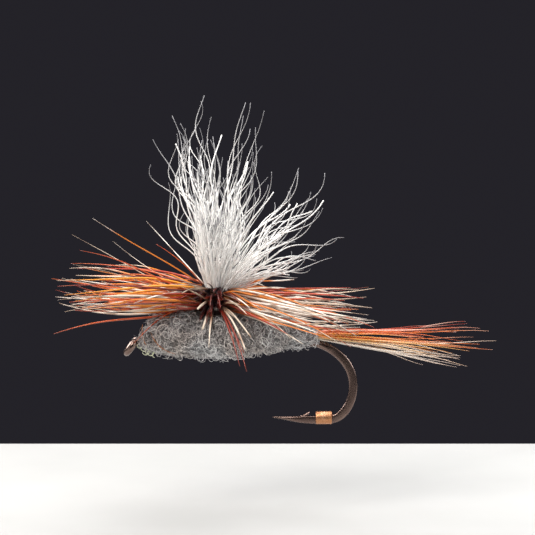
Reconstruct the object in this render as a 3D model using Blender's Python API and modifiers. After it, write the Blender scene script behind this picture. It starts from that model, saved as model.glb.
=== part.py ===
"""Parachute dry fly tied on a size 12 hook.

The origin is the centre of the hook eye.  +X runs from the eye to the tail, +Z is up along the
wing post, and the hook lies in the XZ plane.  Dimensions below are millimetres and degrees; MM
turns them into metres where objects are made.
"""
import math

import bmesh
import bpy
from mathutils import Vector

MM = 0.001
WELD = 1e-7
GAP = 0.015

# Hook: round wire, forged flat at the bend, turned-down ringed eye, raised barb.
WIRE_RADIUS = 0.24
EYE_WIRE_RADIUS = 0.21
EYE_RADIUS = 0.53
EYE_TILT = math.radians(53)
EYE_OPENING = math.radians(40)
SHANK_Z = 0.40
SHANK_FRONT_X = 1.00
BEND_START_X = 10.79
BEND_OUT_X = 14.48
BEND_MID_Z = -2.57
BEND_RADIUS = 0.28
SPEAR_BACK_X = 12.87
SPEAR_Z = -4.86
SPEAR_RADIUS = 0.25
POINT_X = 9.18
POINT_Z = -4.69
POINT_RADIUS = 0.012
HOOK_SIDES = 12
POINT_STEPS = 3
LOWER_BEND_STEPS = 9
LOWER_SWELL_STEPS = 3
UPPER_BEND_STEPS = 11
NECK_STEPS = 6
NECK_LEAVE = 0.8
NECK_SWING = 1.1
RING_STEPS = 16
BARB_FRONT_X = 10.98
BARB_BACK_X = 11.30
BARB_TIP = (11.63, 0.0, -4.36)
BARB_TIP_SCALE = 0.12
FORGED_HALF_THICKNESS = 0.20
FORGED_TOP_Z = -0.40
FORGED_BOTTOM_Z = -4.20
FORGED_FADE = 0.16
SPEAR_HALF_THICKNESS = 0.19

# Copper band crimped round the wire between the barb and the bend.
BAND_X = (12.03, 13.08)
BAND_RADIUS = 0.42
BAND_Z = -4.73
BAND_CHAMFER = 0.05
BAND_BORE_RADIUS = 0.325
BAND_BORE_Z = -4.80
BAND_BORE_REACH = 1.0
BAND_STEPS = 24

# Thread on the shank.
THREAD_BASE_END_X = 11.20
THREAD_BASE_RADII = (0.255, 0.32)
HEAD_X = (0.98, 1.42)
HEAD_RADIUS = 0.335
HEAD_TURNS = 5
SLEEVE_WALL = 0.06
TAIL_WRAPS_X = (10.25, 11.15)
TAIL_WRAPS_Z = 0.51
TAIL_WRAPS_HALF = (0.40, 0.50)
WING_WRAPS_X = (6.25, 8.75)
WING_WRAPS_Z = 0.63
WING_WRAPS_HALF = (0.42, 0.61)
SLEEVE_TURNS = 6
SLEEVE_STEPS = 20
RIB_ROOT = 0.45
RIB_SHOULDER = 0.3

# Wing: a post of hair bound on top of the shank, its butts, and locks that fan from its top.
POST_X = 5.46
POST_PROFILE = (
    (0.0, 5.20),
    (0.84, 5.20),
    (0.80, 4.45),
    (0.55, 3.85),
    (0.55, 1.05),
    (0.46, 0.77),
    (0.0, 0.77),
)
POST_STEPS = 24
BUTTS = (
    ((6.08, 0.0, 0.99), 0.21),
    ((7.20, 0.0, 0.96), 0.19),
    ((8.40, 0.0, 0.88), 0.12),
    ((9.10, 0.0, 0.82), 0.06),
)
BUTT_SIDES = 10
LOCK_BASE_Z = 5.23
LOCK_POINTS = 9
LOCK_RISE = 0.40
LOCK_FULL_AT = 0.55
LOCK_FADE_POWER = 0.6
LOCK_SIDES = 8
OUTER_LOCKS = 8
OUTER_LOCK_RING = 0.60
OUTER_LOCK_LEAN = 32.0
OUTER_LOCK_LEAN_TO_REAR = 18.5
OUTER_LOCK_LENGTH = 9.6
OUTER_LOCK_LONGER_IN_FRONT = 0.9
OUTER_LOCK_UNEVEN = 0.5
OUTER_LOCK_RADII = (0.17, 0.42, 0.06)
INNER_LOCKS = 4
INNER_LOCK_RING = 0.23
INNER_LOCK_LEAN = 10.0
INNER_LOCK_LEAN_TO_REAR = 6.0
INNER_LOCK_LENGTH = 10.6
INNER_LOCK_LONGER_IN_FRONT = 0.5
INNER_LOCK_RADII = (0.13, 0.36, 0.06)
REAR_LOCK_RING = 0.76
REAR_LOCK_LEAN = 76.0
REAR_LOCK_LENGTH = 7.7
REAR_LOCK_RADII = (0.05, 0.22, 0.05)

# Thread round the foot of the post.
POST_WRAPS_Z = (1.20, 2.05)
POST_WRAPS_RADII = (0.565, 0.62)
POST_WRAPS_TURNS = 7
TIE_OFF_Z = (2.07, 2.41)
TIE_OFF_RADII = (0.565, 0.68)
TIE_OFF_TURNS = 3

# Two hackle feathers wound together round the post.
QUILL_RADIUS = 0.06
QUILL_RING = 0.63
QUILL_PITCH = 0.27
QUILL_TURNS = 4
QUILL_STEPS = 12
QUILL_SIDES = 6
QUILL_Z = 2.50
BARB_LENGTH = 9.4
BARB_LENGTH_SPREAD = 0.7
BARB_LENGTH_STEP = 2.4
BARB_LENGTH_SHIFT = 1.7
BARB_STATIONS = ((0.10, 0.9), (0.55, 0.75), (1.0, 0.15))
BARB_NARROWING = 0.28
FRONT_SLOPES = (0.02, 0.42)
REAR_SLOPES = (-0.07, 0.10)
SIDE_SLOPES = (-0.30, 0.12)

# Dubbed body: (x, centre height, radius) along the shank.
BODY_STATIONS = (
    (1.00, 0.42, 0.66),
    (1.56, 0.55, 1.04),
    (2.50, 0.72, 1.43),
    (3.80, 0.74, 1.62),
    (5.46, 0.66, 1.66),
    (7.10, 0.64, 1.53),
    (9.36, 0.58, 1.18),
    (11.00, 0.47, 0.76),
    (11.80, 0.44, 0.58),
)
BODY_STEP = 0.45
THORAX_X = (1.46, 5.45)
ABDOMEN_X = (5.47, 11.80)
BODY_BORE = (
    ((0.80, 0.0, 0.42), 0.43),
    ((2.00, 0.0, 0.42), 0.43),
    ((5.80, 0.0, 0.62), 0.72),
    ((9.20, 0.0, 0.62), 0.72),
    ((10.00, 0.0, 0.50), 0.60),
    ((11.20, 0.0, 0.49), 0.60),
    ((11.45, 0.0, 0.465), 0.50),
    ((12.20, 0.0, 0.455), 0.50),
)
BODY_BORE_WIDTH = 0.82
POST_HOLE_RADIUS = 0.70
BODY_SIDES = 20
BORE_SIDES = 16

# Tail: barbs laid side by side in two rows on the shank, fanning to their tips.
TAIL_COLUMNS = 7
TAIL_COLUMN_STEP = 0.088
TAIL_ROWS_Z = (0.775, 0.865)
TAIL_START_X = 10.30
TAIL_EXIT_X = 12.10
TAIL_TIPS_X = (22.8, 24.0)
TAIL_TIPS_Z = (-0.75, 0.45)
TAIL_SHORTER_AT_SIDES = 1.5
TAIL_STAGGER = 0.6
TAIL_TIP_SPREAD = 0.42
TAIL_TIP_FAN = (0.6, 0.5)
TAIL_TIP_STEP = 2.1
TAIL_STAGGER_CYCLE = 3
TAIL_BEND_ALONG = 0.45
TAIL_BEND_ASIDE = 0.3
TAIL_BEND_UP = (0.04, 0.24)
TAIL_RADII = (0.040, 0.048, 0.012)
TAIL_POINTS = 8
TAIL_SIDES = 6

COLOURS = {
    "bronze_wire": ((0.20, 0.13, 0.085), 0.28, 0.95),
    "copper": ((0.86, 0.47, 0.28), 0.25, 1.0),
    "dark_thread": ((0.035, 0.025, 0.022), 0.55, 0.0),
    "grey_dubbing": ((0.36, 0.36, 0.37), 0.95, 0.0),
    "white_hair": ((0.86, 0.84, 0.80), 0.55, 0.0),
    "brown_feather": ((0.52, 0.14, 0.03), 0.45, 0.0),
    "grizzly_feather": ((0.62, 0.56, 0.50), 0.50, 0.0),
}


def clear_scene():
    """Remove every object that the file opens with."""
    for item in list(bpy.data.objects):
        bpy.data.objects.remove(item, do_unlink=True)


def new_collection(name):
    group = bpy.data.collections.new(name)
    bpy.context.scene.collection.children.link(group)
    return group


def make_materials():
    """One Principled material for each colour of stuff that the fly is tied from."""
    made = {}
    for name, (colour, roughness, metallic) in COLOURS.items():
        stuff = bpy.data.materials.new(name)
        stuff.use_nodes = True
        shader = stuff.node_tree.nodes["Principled BSDF"]
        shader.inputs["Base Color"].default_value = (*colour, 1.0)
        shader.inputs["Roughness"].default_value = roughness
        shader.inputs["Metallic"].default_value = metallic
        stuff.diffuse_color = (*colour, 1.0)
        made[name] = stuff
    return made


def metres(point):
    return Vector(point) * MM


def mix(low, high, share):
    return low + (high - low) * share


def finish_piece(piece, parts, stuff):
    """Put an object in the fly's collection and give it its material."""
    parts.objects.link(piece)
    piece.data.materials.append(stuff)


def tube_curve(name, points, radii, sides):
    """A wire or fibre: a curve through the points, with a radius at each."""
    curve = bpy.data.curves.new(name, "CURVE")
    curve.dimensions = "3D"
    curve.twist_mode = "Z_UP"
    curve.bevel_depth = MM
    curve.bevel_resolution = sides // 2 - 2
    curve.use_fill_caps = True
    line = curve.splines.new("POLY")
    line.points.add(len(points) - 1)
    for spot, point, radius in zip(line.points, points, radii):
        spot.co = (*metres(point), 1.0)
        spot.radius = radius
    return bpy.data.objects.new(name, curve)


def tube_mesh(name, points, radii, sides, twist="Z_UP"):
    """The same tube as a closed mesh, for a piece that is shaped further or cut."""
    tube = tube_curve(name, points, radii, sides)
    tube.data.twist_mode = twist
    bpy.context.scene.collection.objects.link(tube)
    depsgraph = bpy.context.evaluated_depsgraph_get()
    mesh = bpy.data.meshes.new_from_object(tube.evaluated_get(depsgraph))
    curve = tube.data
    bpy.data.objects.remove(tube, do_unlink=True)
    bpy.data.curves.remove(curve)
    work = bmesh.new()
    work.from_mesh(mesh)
    bmesh.ops.remove_doubles(work, verts=work.verts, dist=WELD)
    bmesh.ops.recalc_face_normals(work, faces=work.faces)
    work.to_mesh(mesh)
    work.free()
    mesh.name = name
    mesh.shade_smooth()
    mesh.set_sharp_from_angle(angle=math.radians(50))
    return bpy.data.objects.new(name, mesh)


def turned(name, profile, closed, steps):
    """A turned piece: the profile of (radius, height) pairs swung round +Z."""
    mesh = bpy.data.meshes.new(name)
    verts = [metres((radius, 0.0, height)) for radius, height in profile]
    edges = [(index, index + 1) for index in range(len(verts) - 1)]
    if closed:
        edges.append((len(verts) - 1, 0))
    mesh.from_pydata(verts, edges, [])
    piece = bpy.data.objects.new(name, mesh)
    screw = piece.modifiers.new("turn", "SCREW")
    screw.axis = "Z"
    screw.steps = steps
    screw.render_steps = steps
    screw.use_merge_vertices = True
    screw.merge_threshold = WELD
    screw.use_smooth_shade = True
    return piece


def ribbed_sleeve(name, length, inner, outer, turns):
    """Thread wound side by side: a sleeve with a rounded rib for each turn, centred on z = 0."""
    rib = length / turns
    top = length / 2
    root = mix(outer, inner, RIB_ROOT)
    profile = []
    for turn in range(turns):
        high = top - turn * rib
        profile.append((root, high))
        profile.append((outer, high - rib * RIB_SHOULDER))
        profile.append((outer, high - rib * (1 - RIB_SHOULDER)))
    profile.append((root, -top))
    profile.append((inner, -top))
    profile.append((inner, top))
    return turned(name, profile, True, SLEEVE_STEPS)


def lay_along_shank(piece, centre_x, centre_z):
    """Turn a piece made round +Z so that it lies along +X at this place."""
    piece.rotation_euler = (0.0, math.pi / 2, 0.0)
    piece.location = metres((centre_x, 0.0, centre_z))


def cut_with(piece, cutter, cutters):
    """Take the cutter's shape out of the piece."""
    cutters.objects.link(cutter)
    cutter.hide_render = True
    cutter.display_type = "WIRE"
    cut = piece.modifiers.new("cut " + cutter.name, "BOOLEAN")
    cut.operation = "DIFFERENCE"
    cut.solver = "EXACT"
    cut.object = cutter


def ellipse_point(centre_x, half_x, half_z, angle):
    return (centre_x + half_x * math.cos(angle), 0.0, BEND_MID_Z + half_z * math.sin(angle))


def eye_point(angle):
    """A point on the eye's ring, which is turned down and holds the Y axis."""
    along = EYE_RADIUS * math.cos(angle)
    return (along * math.cos(EYE_TILT), EYE_RADIUS * math.sin(angle), along * math.sin(EYE_TILT))


def hook_path():
    """Centreline points and wire radii from the point, round the bend, to the end of the eye."""
    points = []
    radii = []
    spear_xs = [mix(POINT_X, BARB_FRONT_X, step / POINT_STEPS) for step in range(POINT_STEPS + 1)]
    for x in (*spear_xs, BARB_BACK_X):
        share = (x - POINT_X) / (BARB_BACK_X - POINT_X)
        points.append((x, 0.0, mix(POINT_Z, SPEAR_Z, share)))
        radii.append(mix(POINT_RADIUS, SPEAR_RADIUS, share))
    points.append((mix(BARB_BACK_X, SPEAR_BACK_X, 0.5), 0.0, SPEAR_Z))
    radii.append(SPEAR_RADIUS)
    for step in range(LOWER_BEND_STEPS + 1):
        angle = math.radians(-90 + 90 * step / LOWER_BEND_STEPS)
        half_x = BEND_OUT_X - SPEAR_BACK_X
        points.append(ellipse_point(SPEAR_BACK_X, half_x, BEND_MID_Z - SPEAR_Z, angle))
        radii.append(mix(SPEAR_RADIUS, BEND_RADIUS, min(1.0, step / LOWER_SWELL_STEPS)))
    for step in range(1, UPPER_BEND_STEPS + 1):
        share = step / UPPER_BEND_STEPS
        half_x = BEND_OUT_X - BEND_START_X
        points.append(ellipse_point(BEND_START_X, half_x, SHANK_Z - BEND_MID_Z, math.radians(90 * share)))
        radii.append(mix(BEND_RADIUS, WIRE_RADIUS, max(0.0, share * 2 - 1)))
    points.append((SHANK_FRONT_X, 0.0, SHANK_Z))
    radii.append(WIRE_RADIUS)
    start = Vector((SHANK_FRONT_X, 0.0, SHANK_Z))
    end = Vector(eye_point(EYE_OPENING))
    leave = Vector((-NECK_LEAVE, 0.0, 0.0))
    swing = Vector(eye_point(EYE_OPENING + math.pi / 2)) * NECK_SWING
    for step in range(1, NECK_STEPS):
        t = step / NECK_STEPS
        spot = start * (2 * t**3 - 3 * t**2 + 1) + leave * (t**3 - 2 * t**2 + t)
        spot = spot + end * (3 * t**2 - 2 * t**3) + swing * (t**3 - t**2)
        points.append(tuple(spot))
        radii.append(mix(WIRE_RADIUS, EYE_WIRE_RADIUS, t))
    for step in range(RING_STEPS + 1):
        points.append(eye_point(mix(EYE_OPENING, 2 * math.pi - EYE_OPENING, step / RING_STEPS)))
        radii.append(EYE_WIRE_RADIUS)
    return points, radii


def raise_barb(work):
    """Lift the barb from the top of the spear: one facet of the wire drawn up and back."""
    middle = metres(((BARB_FRONT_X + BARB_BACK_X) / 2, 0.0, 0.0))
    tops = [f for f in work.faces if f.normal.z > 0.9 and abs(f.calc_center_median().x - middle.x) < 0.1 * MM]
    tops = [f for f in tops if f.calc_center_median().z < BEND_MID_Z * MM]
    facet = min(tops, key=lambda f: abs(f.calc_center_median().y))
    lifted = bmesh.ops.extrude_discrete_faces(work, faces=[facet])["faces"][0]
    centre = lifted.calc_center_median()
    tip = metres(BARB_TIP)
    for vert in lifted.verts:
        vert.co = tip + (vert.co - centre) * BARB_TIP_SCALE


def forge_flats(work):
    """Press the sides of the bend and the spear between flat dies."""
    for vert in work.verts:
        x, y, z = vert.co / MM
        if x < BAND_X[0] and z > BEND_MID_Z:
            continue
        half = SPEAR_HALF_THICKNESS
        if z > FORGED_BOTTOM_Z:
            half = FORGED_HALF_THICKNESS + max(0.0, z - FORGED_TOP_Z) * FORGED_FADE
        vert.co.y = max(-half, min(half, y)) * MM


def make_hook(parts, stuff):
    points, radii = hook_path()
    hook = tube_mesh("hook", points, radii, HOOK_SIDES, "MINIMUM")
    work = bmesh.new()
    work.from_mesh(hook.data)
    forge_flats(work)
    raise_barb(work)
    work.to_mesh(hook.data)
    work.free()
    finish_piece(hook, parts, stuff["bronze_wire"])


def make_copper_band(parts, cutters, stuff):
    half = (BAND_X[1] - BAND_X[0]) / 2
    centre = (BAND_X[1] + BAND_X[0]) / 2
    rim = BAND_RADIUS - BAND_CHAMFER
    outline = (
        (0.0, half),
        (rim, half),
        (BAND_RADIUS, half - BAND_CHAMFER),
        (BAND_RADIUS, BAND_CHAMFER - half),
        (rim, -half),
        (0.0, -half),
    )
    band = turned("copper_band", outline, False, BAND_STEPS)
    lay_along_shank(band, centre, BAND_Z)
    ends = [(centre - BAND_BORE_REACH, 0.0, BAND_BORE_Z), (centre + BAND_BORE_REACH, 0.0, BAND_BORE_Z)]
    bore = tube_mesh("band bore", ends, [BAND_BORE_RADIUS] * 2, BORE_SIDES)
    cut_with(band, bore, cutters)
    finish_piece(band, parts, stuff["copper"])


def make_thread(parts, stuff):
    """The thread that binds everything: base layer, tail and wing wraps, post wraps and head."""
    thread = stuff["dark_thread"]
    length = THREAD_BASE_END_X - HEAD_X[1] - GAP
    base = turned(
        "thread_base",
        (
            (THREAD_BASE_RADII[1], length / 2),
            (THREAD_BASE_RADII[1], -length / 2),
            (THREAD_BASE_RADII[0], -length / 2),
            (THREAD_BASE_RADII[0], length / 2),
        ),
        True,
        SLEEVE_STEPS,
    )
    lay_along_shank(base, HEAD_X[1] + GAP + length / 2, SHANK_Z)
    finish_piece(base, parts, thread)

    head_length = HEAD_X[1] - HEAD_X[0]
    head = ribbed_sleeve("whip_finish_head", head_length, WIRE_RADIUS + GAP, HEAD_RADIUS, HEAD_TURNS)
    lay_along_shank(head, (HEAD_X[0] + HEAD_X[1]) / 2, SHANK_Z)
    finish_piece(head, parts, thread)

    sleeves = (
        ("tail_tie_in_wraps", TAIL_WRAPS_X, TAIL_WRAPS_Z, TAIL_WRAPS_HALF),
        ("wing_butt_wraps", WING_WRAPS_X, WING_WRAPS_Z, WING_WRAPS_HALF),
    )
    for name, span, centre_z, (half_y, half_z) in sleeves:
        sleeve = ribbed_sleeve(name, span[1] - span[0], half_y, half_y + SLEEVE_WALL, SLEEVE_TURNS)
        lay_along_shank(sleeve, (span[0] + span[1]) / 2, centre_z)
        sleeve.scale = (half_z / half_y, 1.0, 1.0)
        finish_piece(sleeve, parts, thread)

    rings = (
        ("post_wraps", POST_WRAPS_Z, POST_WRAPS_RADII, POST_WRAPS_TURNS),
        ("hackle_tie_off_wraps", TIE_OFF_Z, TIE_OFF_RADII, TIE_OFF_TURNS),
    )
    for name, span, (inner, outer), turns in rings:
        ring = ribbed_sleeve(name, span[1] - span[0], inner, outer, turns)
        ring.location = metres((POST_X, 0.0, (span[0] + span[1]) / 2))
        finish_piece(ring, parts, thread)


def body_at(x):
    """Centre height and radius of the dubbed body at x, on a smooth curve through its stations."""
    count = len(BODY_STATIONS)
    index = 0
    while index < count - 2 and x > BODY_STATIONS[index + 1][0]:
        index += 1
    near = [Vector(BODY_STATIONS[max(0, min(count - 1, index + shift))]) for shift in (-1, 0, 1, 2)]
    t = (x - near[1].x) / (near[2].x - near[1].x)
    ahead = (near[2] - near[0]) / 2
    after = (near[3] - near[1]) / 2
    spot = near[1] * (2 * t**3 - 3 * t**2 + 1) + ahead * (t**3 - 2 * t**2 + t)
    spot = spot + near[2] * (3 * t**2 - 2 * t**3) + after * (t**3 - t**2)
    return spot.y, spot.z


def make_body(parts, cutters, stuff):
    """Dubbing twisted on thread and wound over the shank, behind and in front of the wing."""
    for name, span in (("dubbed_thorax", THORAX_X), ("dubbed_abdomen", ABDOMEN_X)):
        steps = round((span[1] - span[0]) / BODY_STEP)
        points = []
        radii = []
        for step in range(steps + 1):
            x = mix(span[0], span[1], step / steps)
            height, radius = body_at(x)
            points.append((x, 0.0, height))
            radii.append(radius)
        body = tube_mesh(name, points, radii, BODY_SIDES, "MINIMUM")
        bore_points = [point for point, _ in BODY_BORE]
        bore_radii = [radius for _, radius in BODY_BORE]
        bore = tube_mesh(name + " bore", bore_points, bore_radii, BORE_SIDES, "MINIMUM")
        for vert in bore.data.vertices:
            vert.co.y *= BODY_BORE_WIDTH
        cut_with(body, bore, cutters)
        ends = [(POST_X, 0.0, SHANK_Z), (POST_X, 0.0, POST_PROFILE[0][1])]
        hole = tube_mesh(name + " post hole", ends, [POST_HOLE_RADIUS] * 2, BODY_SIDES)
        cut_with(body, hole, cutters)
        finish_piece(body, parts, stuff["grey_dubbing"])


def lock_curve(name, ring, azimuth, lean, length, radii):
    """One lock of wing hair: out of the post's top, bending outward to its tips."""
    flat = Vector((math.cos(azimuth), math.sin(azimuth), 0.0))
    start = Vector((POST_X, 0.0, LOCK_BASE_Z)) + flat * ring
    tip = start + flat * length * math.sin(lean) + Vector((0.0, 0.0, length * math.cos(lean)))
    bend = start + (flat * math.sin(lean / 2) + Vector((0.0, 0.0, math.cos(lean / 2)))) * length * LOCK_RISE
    base_radius, full_radius, tip_radius = radii
    points = []
    sizes = []
    for step in range(LOCK_POINTS):
        t = step / (LOCK_POINTS - 1)
        points.append(tuple(start * (1 - t) ** 2 + bend * 2 * t * (1 - t) + tip * t**2))
        if t < LOCK_FULL_AT:
            swell = math.sin(math.pi / 2 * t / LOCK_FULL_AT)
            sizes.append(mix(base_radius, full_radius, swell))
        else:
            fade = math.cos(math.pi / 2 * (t - LOCK_FULL_AT) / (1 - LOCK_FULL_AT))
            sizes.append(mix(tip_radius, full_radius, max(0.0, fade) ** LOCK_FADE_POWER))
    lock = tube_curve(name, points, sizes, LOCK_SIDES)
    lock.data.twist_mode = "MINIMUM"
    return lock


def make_wing(parts, stuff):
    hair = stuff["white_hair"]
    post = turned("wing_post", POST_PROFILE, False, POST_STEPS)
    post.location = metres((POST_X, 0.0, 0.0))
    finish_piece(post, parts, hair)
    butts = tube_curve("wing_butts", [p for p, _ in BUTTS], [r for _, r in BUTTS], BUTT_SIDES)
    finish_piece(butts, parts, hair)
    for index in range(OUTER_LOCKS):
        azimuth = 2 * math.pi * (index + 0.5) / OUTER_LOCKS
        lean = math.radians(OUTER_LOCK_LEAN + OUTER_LOCK_LEAN_TO_REAR * math.cos(azimuth))
        length = OUTER_LOCK_LENGTH - OUTER_LOCK_LONGER_IN_FRONT * math.cos(azimuth)
        length += OUTER_LOCK_UNEVEN * math.cos(3 * azimuth)
        name = f"wing_lock_outer_{index + 1}"
        finish_piece(lock_curve(name, OUTER_LOCK_RING, azimuth, lean, length, OUTER_LOCK_RADII), parts, hair)
    for index in range(INNER_LOCKS):
        azimuth = 2 * math.pi * (index + 0.5) / INNER_LOCKS
        lean = math.radians(INNER_LOCK_LEAN + INNER_LOCK_LEAN_TO_REAR * math.cos(azimuth))
        length = INNER_LOCK_LENGTH - INNER_LOCK_LONGER_IN_FRONT * math.cos(azimuth)
        name = f"wing_lock_inner_{index + 1}"
        finish_piece(lock_curve(name, INNER_LOCK_RING, azimuth, lean, length, INNER_LOCK_RADII), parts, hair)
    lean = math.radians(REAR_LOCK_LEAN)
    rear = lock_curve("wing_lock_rear", REAR_LOCK_RING, 0.0, lean, REAR_LOCK_LENGTH, REAR_LOCK_RADII)
    finish_piece(rear, parts, hair)


def barb_slope(azimuth, share):
    """Rise for each millimetre out along a hackle barb; share runs from the lowest turn to the top."""
    ahead = max(0.0, -math.cos(azimuth)) ** 2
    behind = max(0.0, math.cos(azimuth)) ** 2
    aside = 1.0 - ahead - behind
    low = FRONT_SLOPES[0] * ahead + REAR_SLOPES[0] * behind + SIDE_SLOPES[0] * aside
    high = FRONT_SLOPES[1] * ahead + REAR_SLOPES[1] * behind + SIDE_SLOPES[1] * aside
    return mix(low, high, share)


def grow_barb(work, facet, azimuth, slope, length):
    """Draw one barb out of the quill: the facet is extruded along the barb and tapers to a tip."""
    root = facet.calc_center_median().copy()
    offsets = [vert.co - root for vert in facet.verts]
    aside = Vector((-math.sin(azimuth), math.cos(azimuth), 0.0))
    offsets = [offset - aside * offset.dot(aside) * (1 - BARB_NARROWING) for offset in offsets]
    outward = Vector((math.cos(azimuth), math.sin(azimuth), slope)) * length * MM
    for along, scale in BARB_STATIONS:
        facet = bmesh.ops.extrude_discrete_faces(work, faces=[facet])["faces"][0]
        for vert, offset in zip(facet.verts, offsets):
            vert.co = root + outward * along + offset * scale


def make_hackle(name, order, parts, stuff):
    """One feather: its quill wound round the post with a barb standing out at every step."""
    count = QUILL_TURNS * QUILL_STEPS
    points = []
    for step in range(count + 1):
        angle = 2 * math.pi * step / QUILL_STEPS
        height = QUILL_Z + QUILL_PITCH * (step / QUILL_STEPS + order / 2)
        points.append((POST_X + QUILL_RING * math.cos(angle), QUILL_RING * math.sin(angle), height))
    hackle = tube_mesh(name, points, [QUILL_RADIUS] * len(points), QUILL_SIDES)
    axis = metres((POST_X, 0.0, 0.0))
    work = bmesh.new()
    work.from_mesh(hackle.data)
    sides = [face for face in work.faces if len(face.verts) == 4]
    roots = []
    for step in range(count):
        angle = 2 * math.pi * (step + 0.5) / QUILL_STEPS
        place = axis + Vector((math.cos(angle), math.sin(angle), 0.0)) * (QUILL_RING + QUILL_RADIUS) * MM
        place.z = (QUILL_Z + QUILL_PITCH * ((step + 0.5) / QUILL_STEPS + order / 2)) * MM
        roots.append(min(sides, key=lambda face: (face.calc_center_median() - place).length))
    for step, facet in enumerate(roots):
        slot = (step // QUILL_STEPS * 2 + order) / (QUILL_TURNS * 2)
        azimuth = 2 * math.pi * (step + slot) / QUILL_STEPS
        wave = math.sin(step * BARB_LENGTH_STEP + order * BARB_LENGTH_SHIFT)
        length = BARB_LENGTH + BARB_LENGTH_SPREAD * wave
        grow_barb(work, facet, azimuth, barb_slope(azimuth, slot), length)
    work.to_mesh(hackle.data)
    work.free()
    finish_piece(hackle, parts, stuff)


def make_tail(parts, stuff):
    """Tail barbs bound on the shank, fanning behind the bend: grizzly below, brown above."""
    middle = (TAIL_COLUMNS - 1) / 2
    for row, kind in enumerate(("grizzly", "brown")):
        for column in range(TAIL_COLUMNS):
            place = column - middle
            side_y = place * TAIL_COLUMN_STEP
            start = Vector((TAIL_START_X, side_y, TAIL_ROWS_Z[row]))
            leave = Vector((TAIL_EXIT_X, side_y, TAIL_ROWS_Z[row]))
            tip_x = TAIL_TIPS_X[row] - TAIL_SHORTER_AT_SIDES * (place / middle) ** 2
            tip_x -= TAIL_STAGGER * ((column * 2 + row) % TAIL_STAGGER_CYCLE)
            tip_z = TAIL_TIPS_Z[row] + TAIL_TIP_FAN[row] * math.cos(column * TAIL_TIP_STEP + row)
            tip = Vector((tip_x, place * TAIL_TIP_SPREAD, tip_z))
            run = tip - leave
            bend = leave + Vector((run.x * TAIL_BEND_ALONG, run.y * TAIL_BEND_ASIDE, TAIL_BEND_UP[row]))
            points = [tuple(start)]
            radii = [TAIL_RADII[0]]
            for step in range(TAIL_POINTS):
                t = step / (TAIL_POINTS - 1)
                points.append(tuple(leave * (1 - t) ** 2 + bend * 2 * t * (1 - t) + tip * t**2))
                radii.append(mix(TAIL_RADII[1], TAIL_RADII[2], t) if step else TAIL_RADII[0])
            barb = tube_curve(f"tail_barb_{kind}_{column + 1}", points, radii, TAIL_SIDES)
            finish_piece(barb, parts, stuff[kind + "_feather"])


def main():
    clear_scene()
    stuff = make_materials()
    parts = new_collection("dry fly")
    cutters = new_collection("cutters")
    make_hook(parts, stuff)
    make_copper_band(parts, cutters, stuff)
    make_thread(parts, stuff)
    make_body(parts, cutters, stuff)
    make_wing(parts, stuff)
    make_hackle("brown_hackle", 0, parts, stuff["brown_feather"])
    make_hackle("grizzly_hackle", 1, parts, stuff["grizzly_feather"])
    make_tail(parts, stuff)


main()
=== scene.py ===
"""Looks of the parachute dry fly: hair, hackle, dubbing, thread and wire round the CAD frame.

Work is in millimetres, in the frame of the CAD model (+X to the tail, +Z up the wing post); MM
turns it into metres where meshes are made.  The fly's places come from the boxes and meshes of
the CAD nodes.
"""

import math

import bmesh
import bpy
import numpy as np
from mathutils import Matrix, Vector
from mathutils.bvhtree import BVHTree


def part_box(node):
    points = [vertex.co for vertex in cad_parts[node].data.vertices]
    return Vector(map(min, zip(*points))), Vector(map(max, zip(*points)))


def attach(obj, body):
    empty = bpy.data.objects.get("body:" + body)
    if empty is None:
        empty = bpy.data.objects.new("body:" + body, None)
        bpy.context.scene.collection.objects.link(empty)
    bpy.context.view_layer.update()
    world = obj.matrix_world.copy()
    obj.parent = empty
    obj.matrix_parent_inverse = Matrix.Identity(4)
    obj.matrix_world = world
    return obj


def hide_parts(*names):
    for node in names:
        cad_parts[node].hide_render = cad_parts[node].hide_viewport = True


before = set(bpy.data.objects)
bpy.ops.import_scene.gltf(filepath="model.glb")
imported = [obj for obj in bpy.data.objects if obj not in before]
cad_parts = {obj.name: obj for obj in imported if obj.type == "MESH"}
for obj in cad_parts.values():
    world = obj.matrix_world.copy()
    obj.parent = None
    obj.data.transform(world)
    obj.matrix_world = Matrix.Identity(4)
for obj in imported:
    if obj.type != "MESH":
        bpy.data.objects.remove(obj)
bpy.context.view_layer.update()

MM = 0.001
UV_NAME = "OFBake"
UP = np.array([0.0, 0.0, 1.0])
ACROSS = np.array([0.0, 1.0, 0.0])
WHITE = (1.0, 1.0, 1.0)
FINE_BUMP = 0.00001
COARSE_BUMP = 0.00005
FIBRE_SIZES = (0.7, 1.25)

# Seeds of the random draws
LOCK_SEED = 100
POST_SEED = 7
UNDERFUR_SEED = 17
BUTT_SEED = 23
HACKLE_SEED = 31
TAIL_SEED = 500
FUR_SEEDS = {"dubbed_thorax": 61, "dubbed_abdomen": 71}
STRAY_SEED = 91

# Wing hair
HAIRS_PER_LOCK = 20
STRAYS_PER_LOCK = 1
LOCK_FAN = 6.0
REAR_LOCK_FAN = 4.5
LOCK_GATHER = 0.7
SIDE_GATHER = 0.85
HAIR_RADIUS = 0.043
HAIR_POINTS = 34
HAIR_SIDES = 6
HAIR_WAVE = 0.5
HAIR_WAVELENGTH = 5.0
LOCK_JITTER = 0.34
BLUNT_SHARE = 0.14
STRAY_FAN = 1.6
FAN_LIMIT = 1.8
HAIR_RISE = (0.26, 0.36)
HAIR_FLARE = (0.6, 0.95)
HAIR_TURNS = (0.65, 1.25)
HAIR_SWELL = (0.4, 1.25)
HAIR_SIZES = (0.75, 1.12)
LOCK_ROOT_SPREAD = 0.55
LOCK_ROOT_FILL = 0.94
SHORTEST_HAIR = 0.42
LOCK_END_POINTS = 8
POST_STRANDS = 90
POST_ROWS = 14
POST_FLARE = 0.62
POST_FILL = 0.93
POST_THICKENING = 1.25
UNDERFUR_HAIRS = 240
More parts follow.
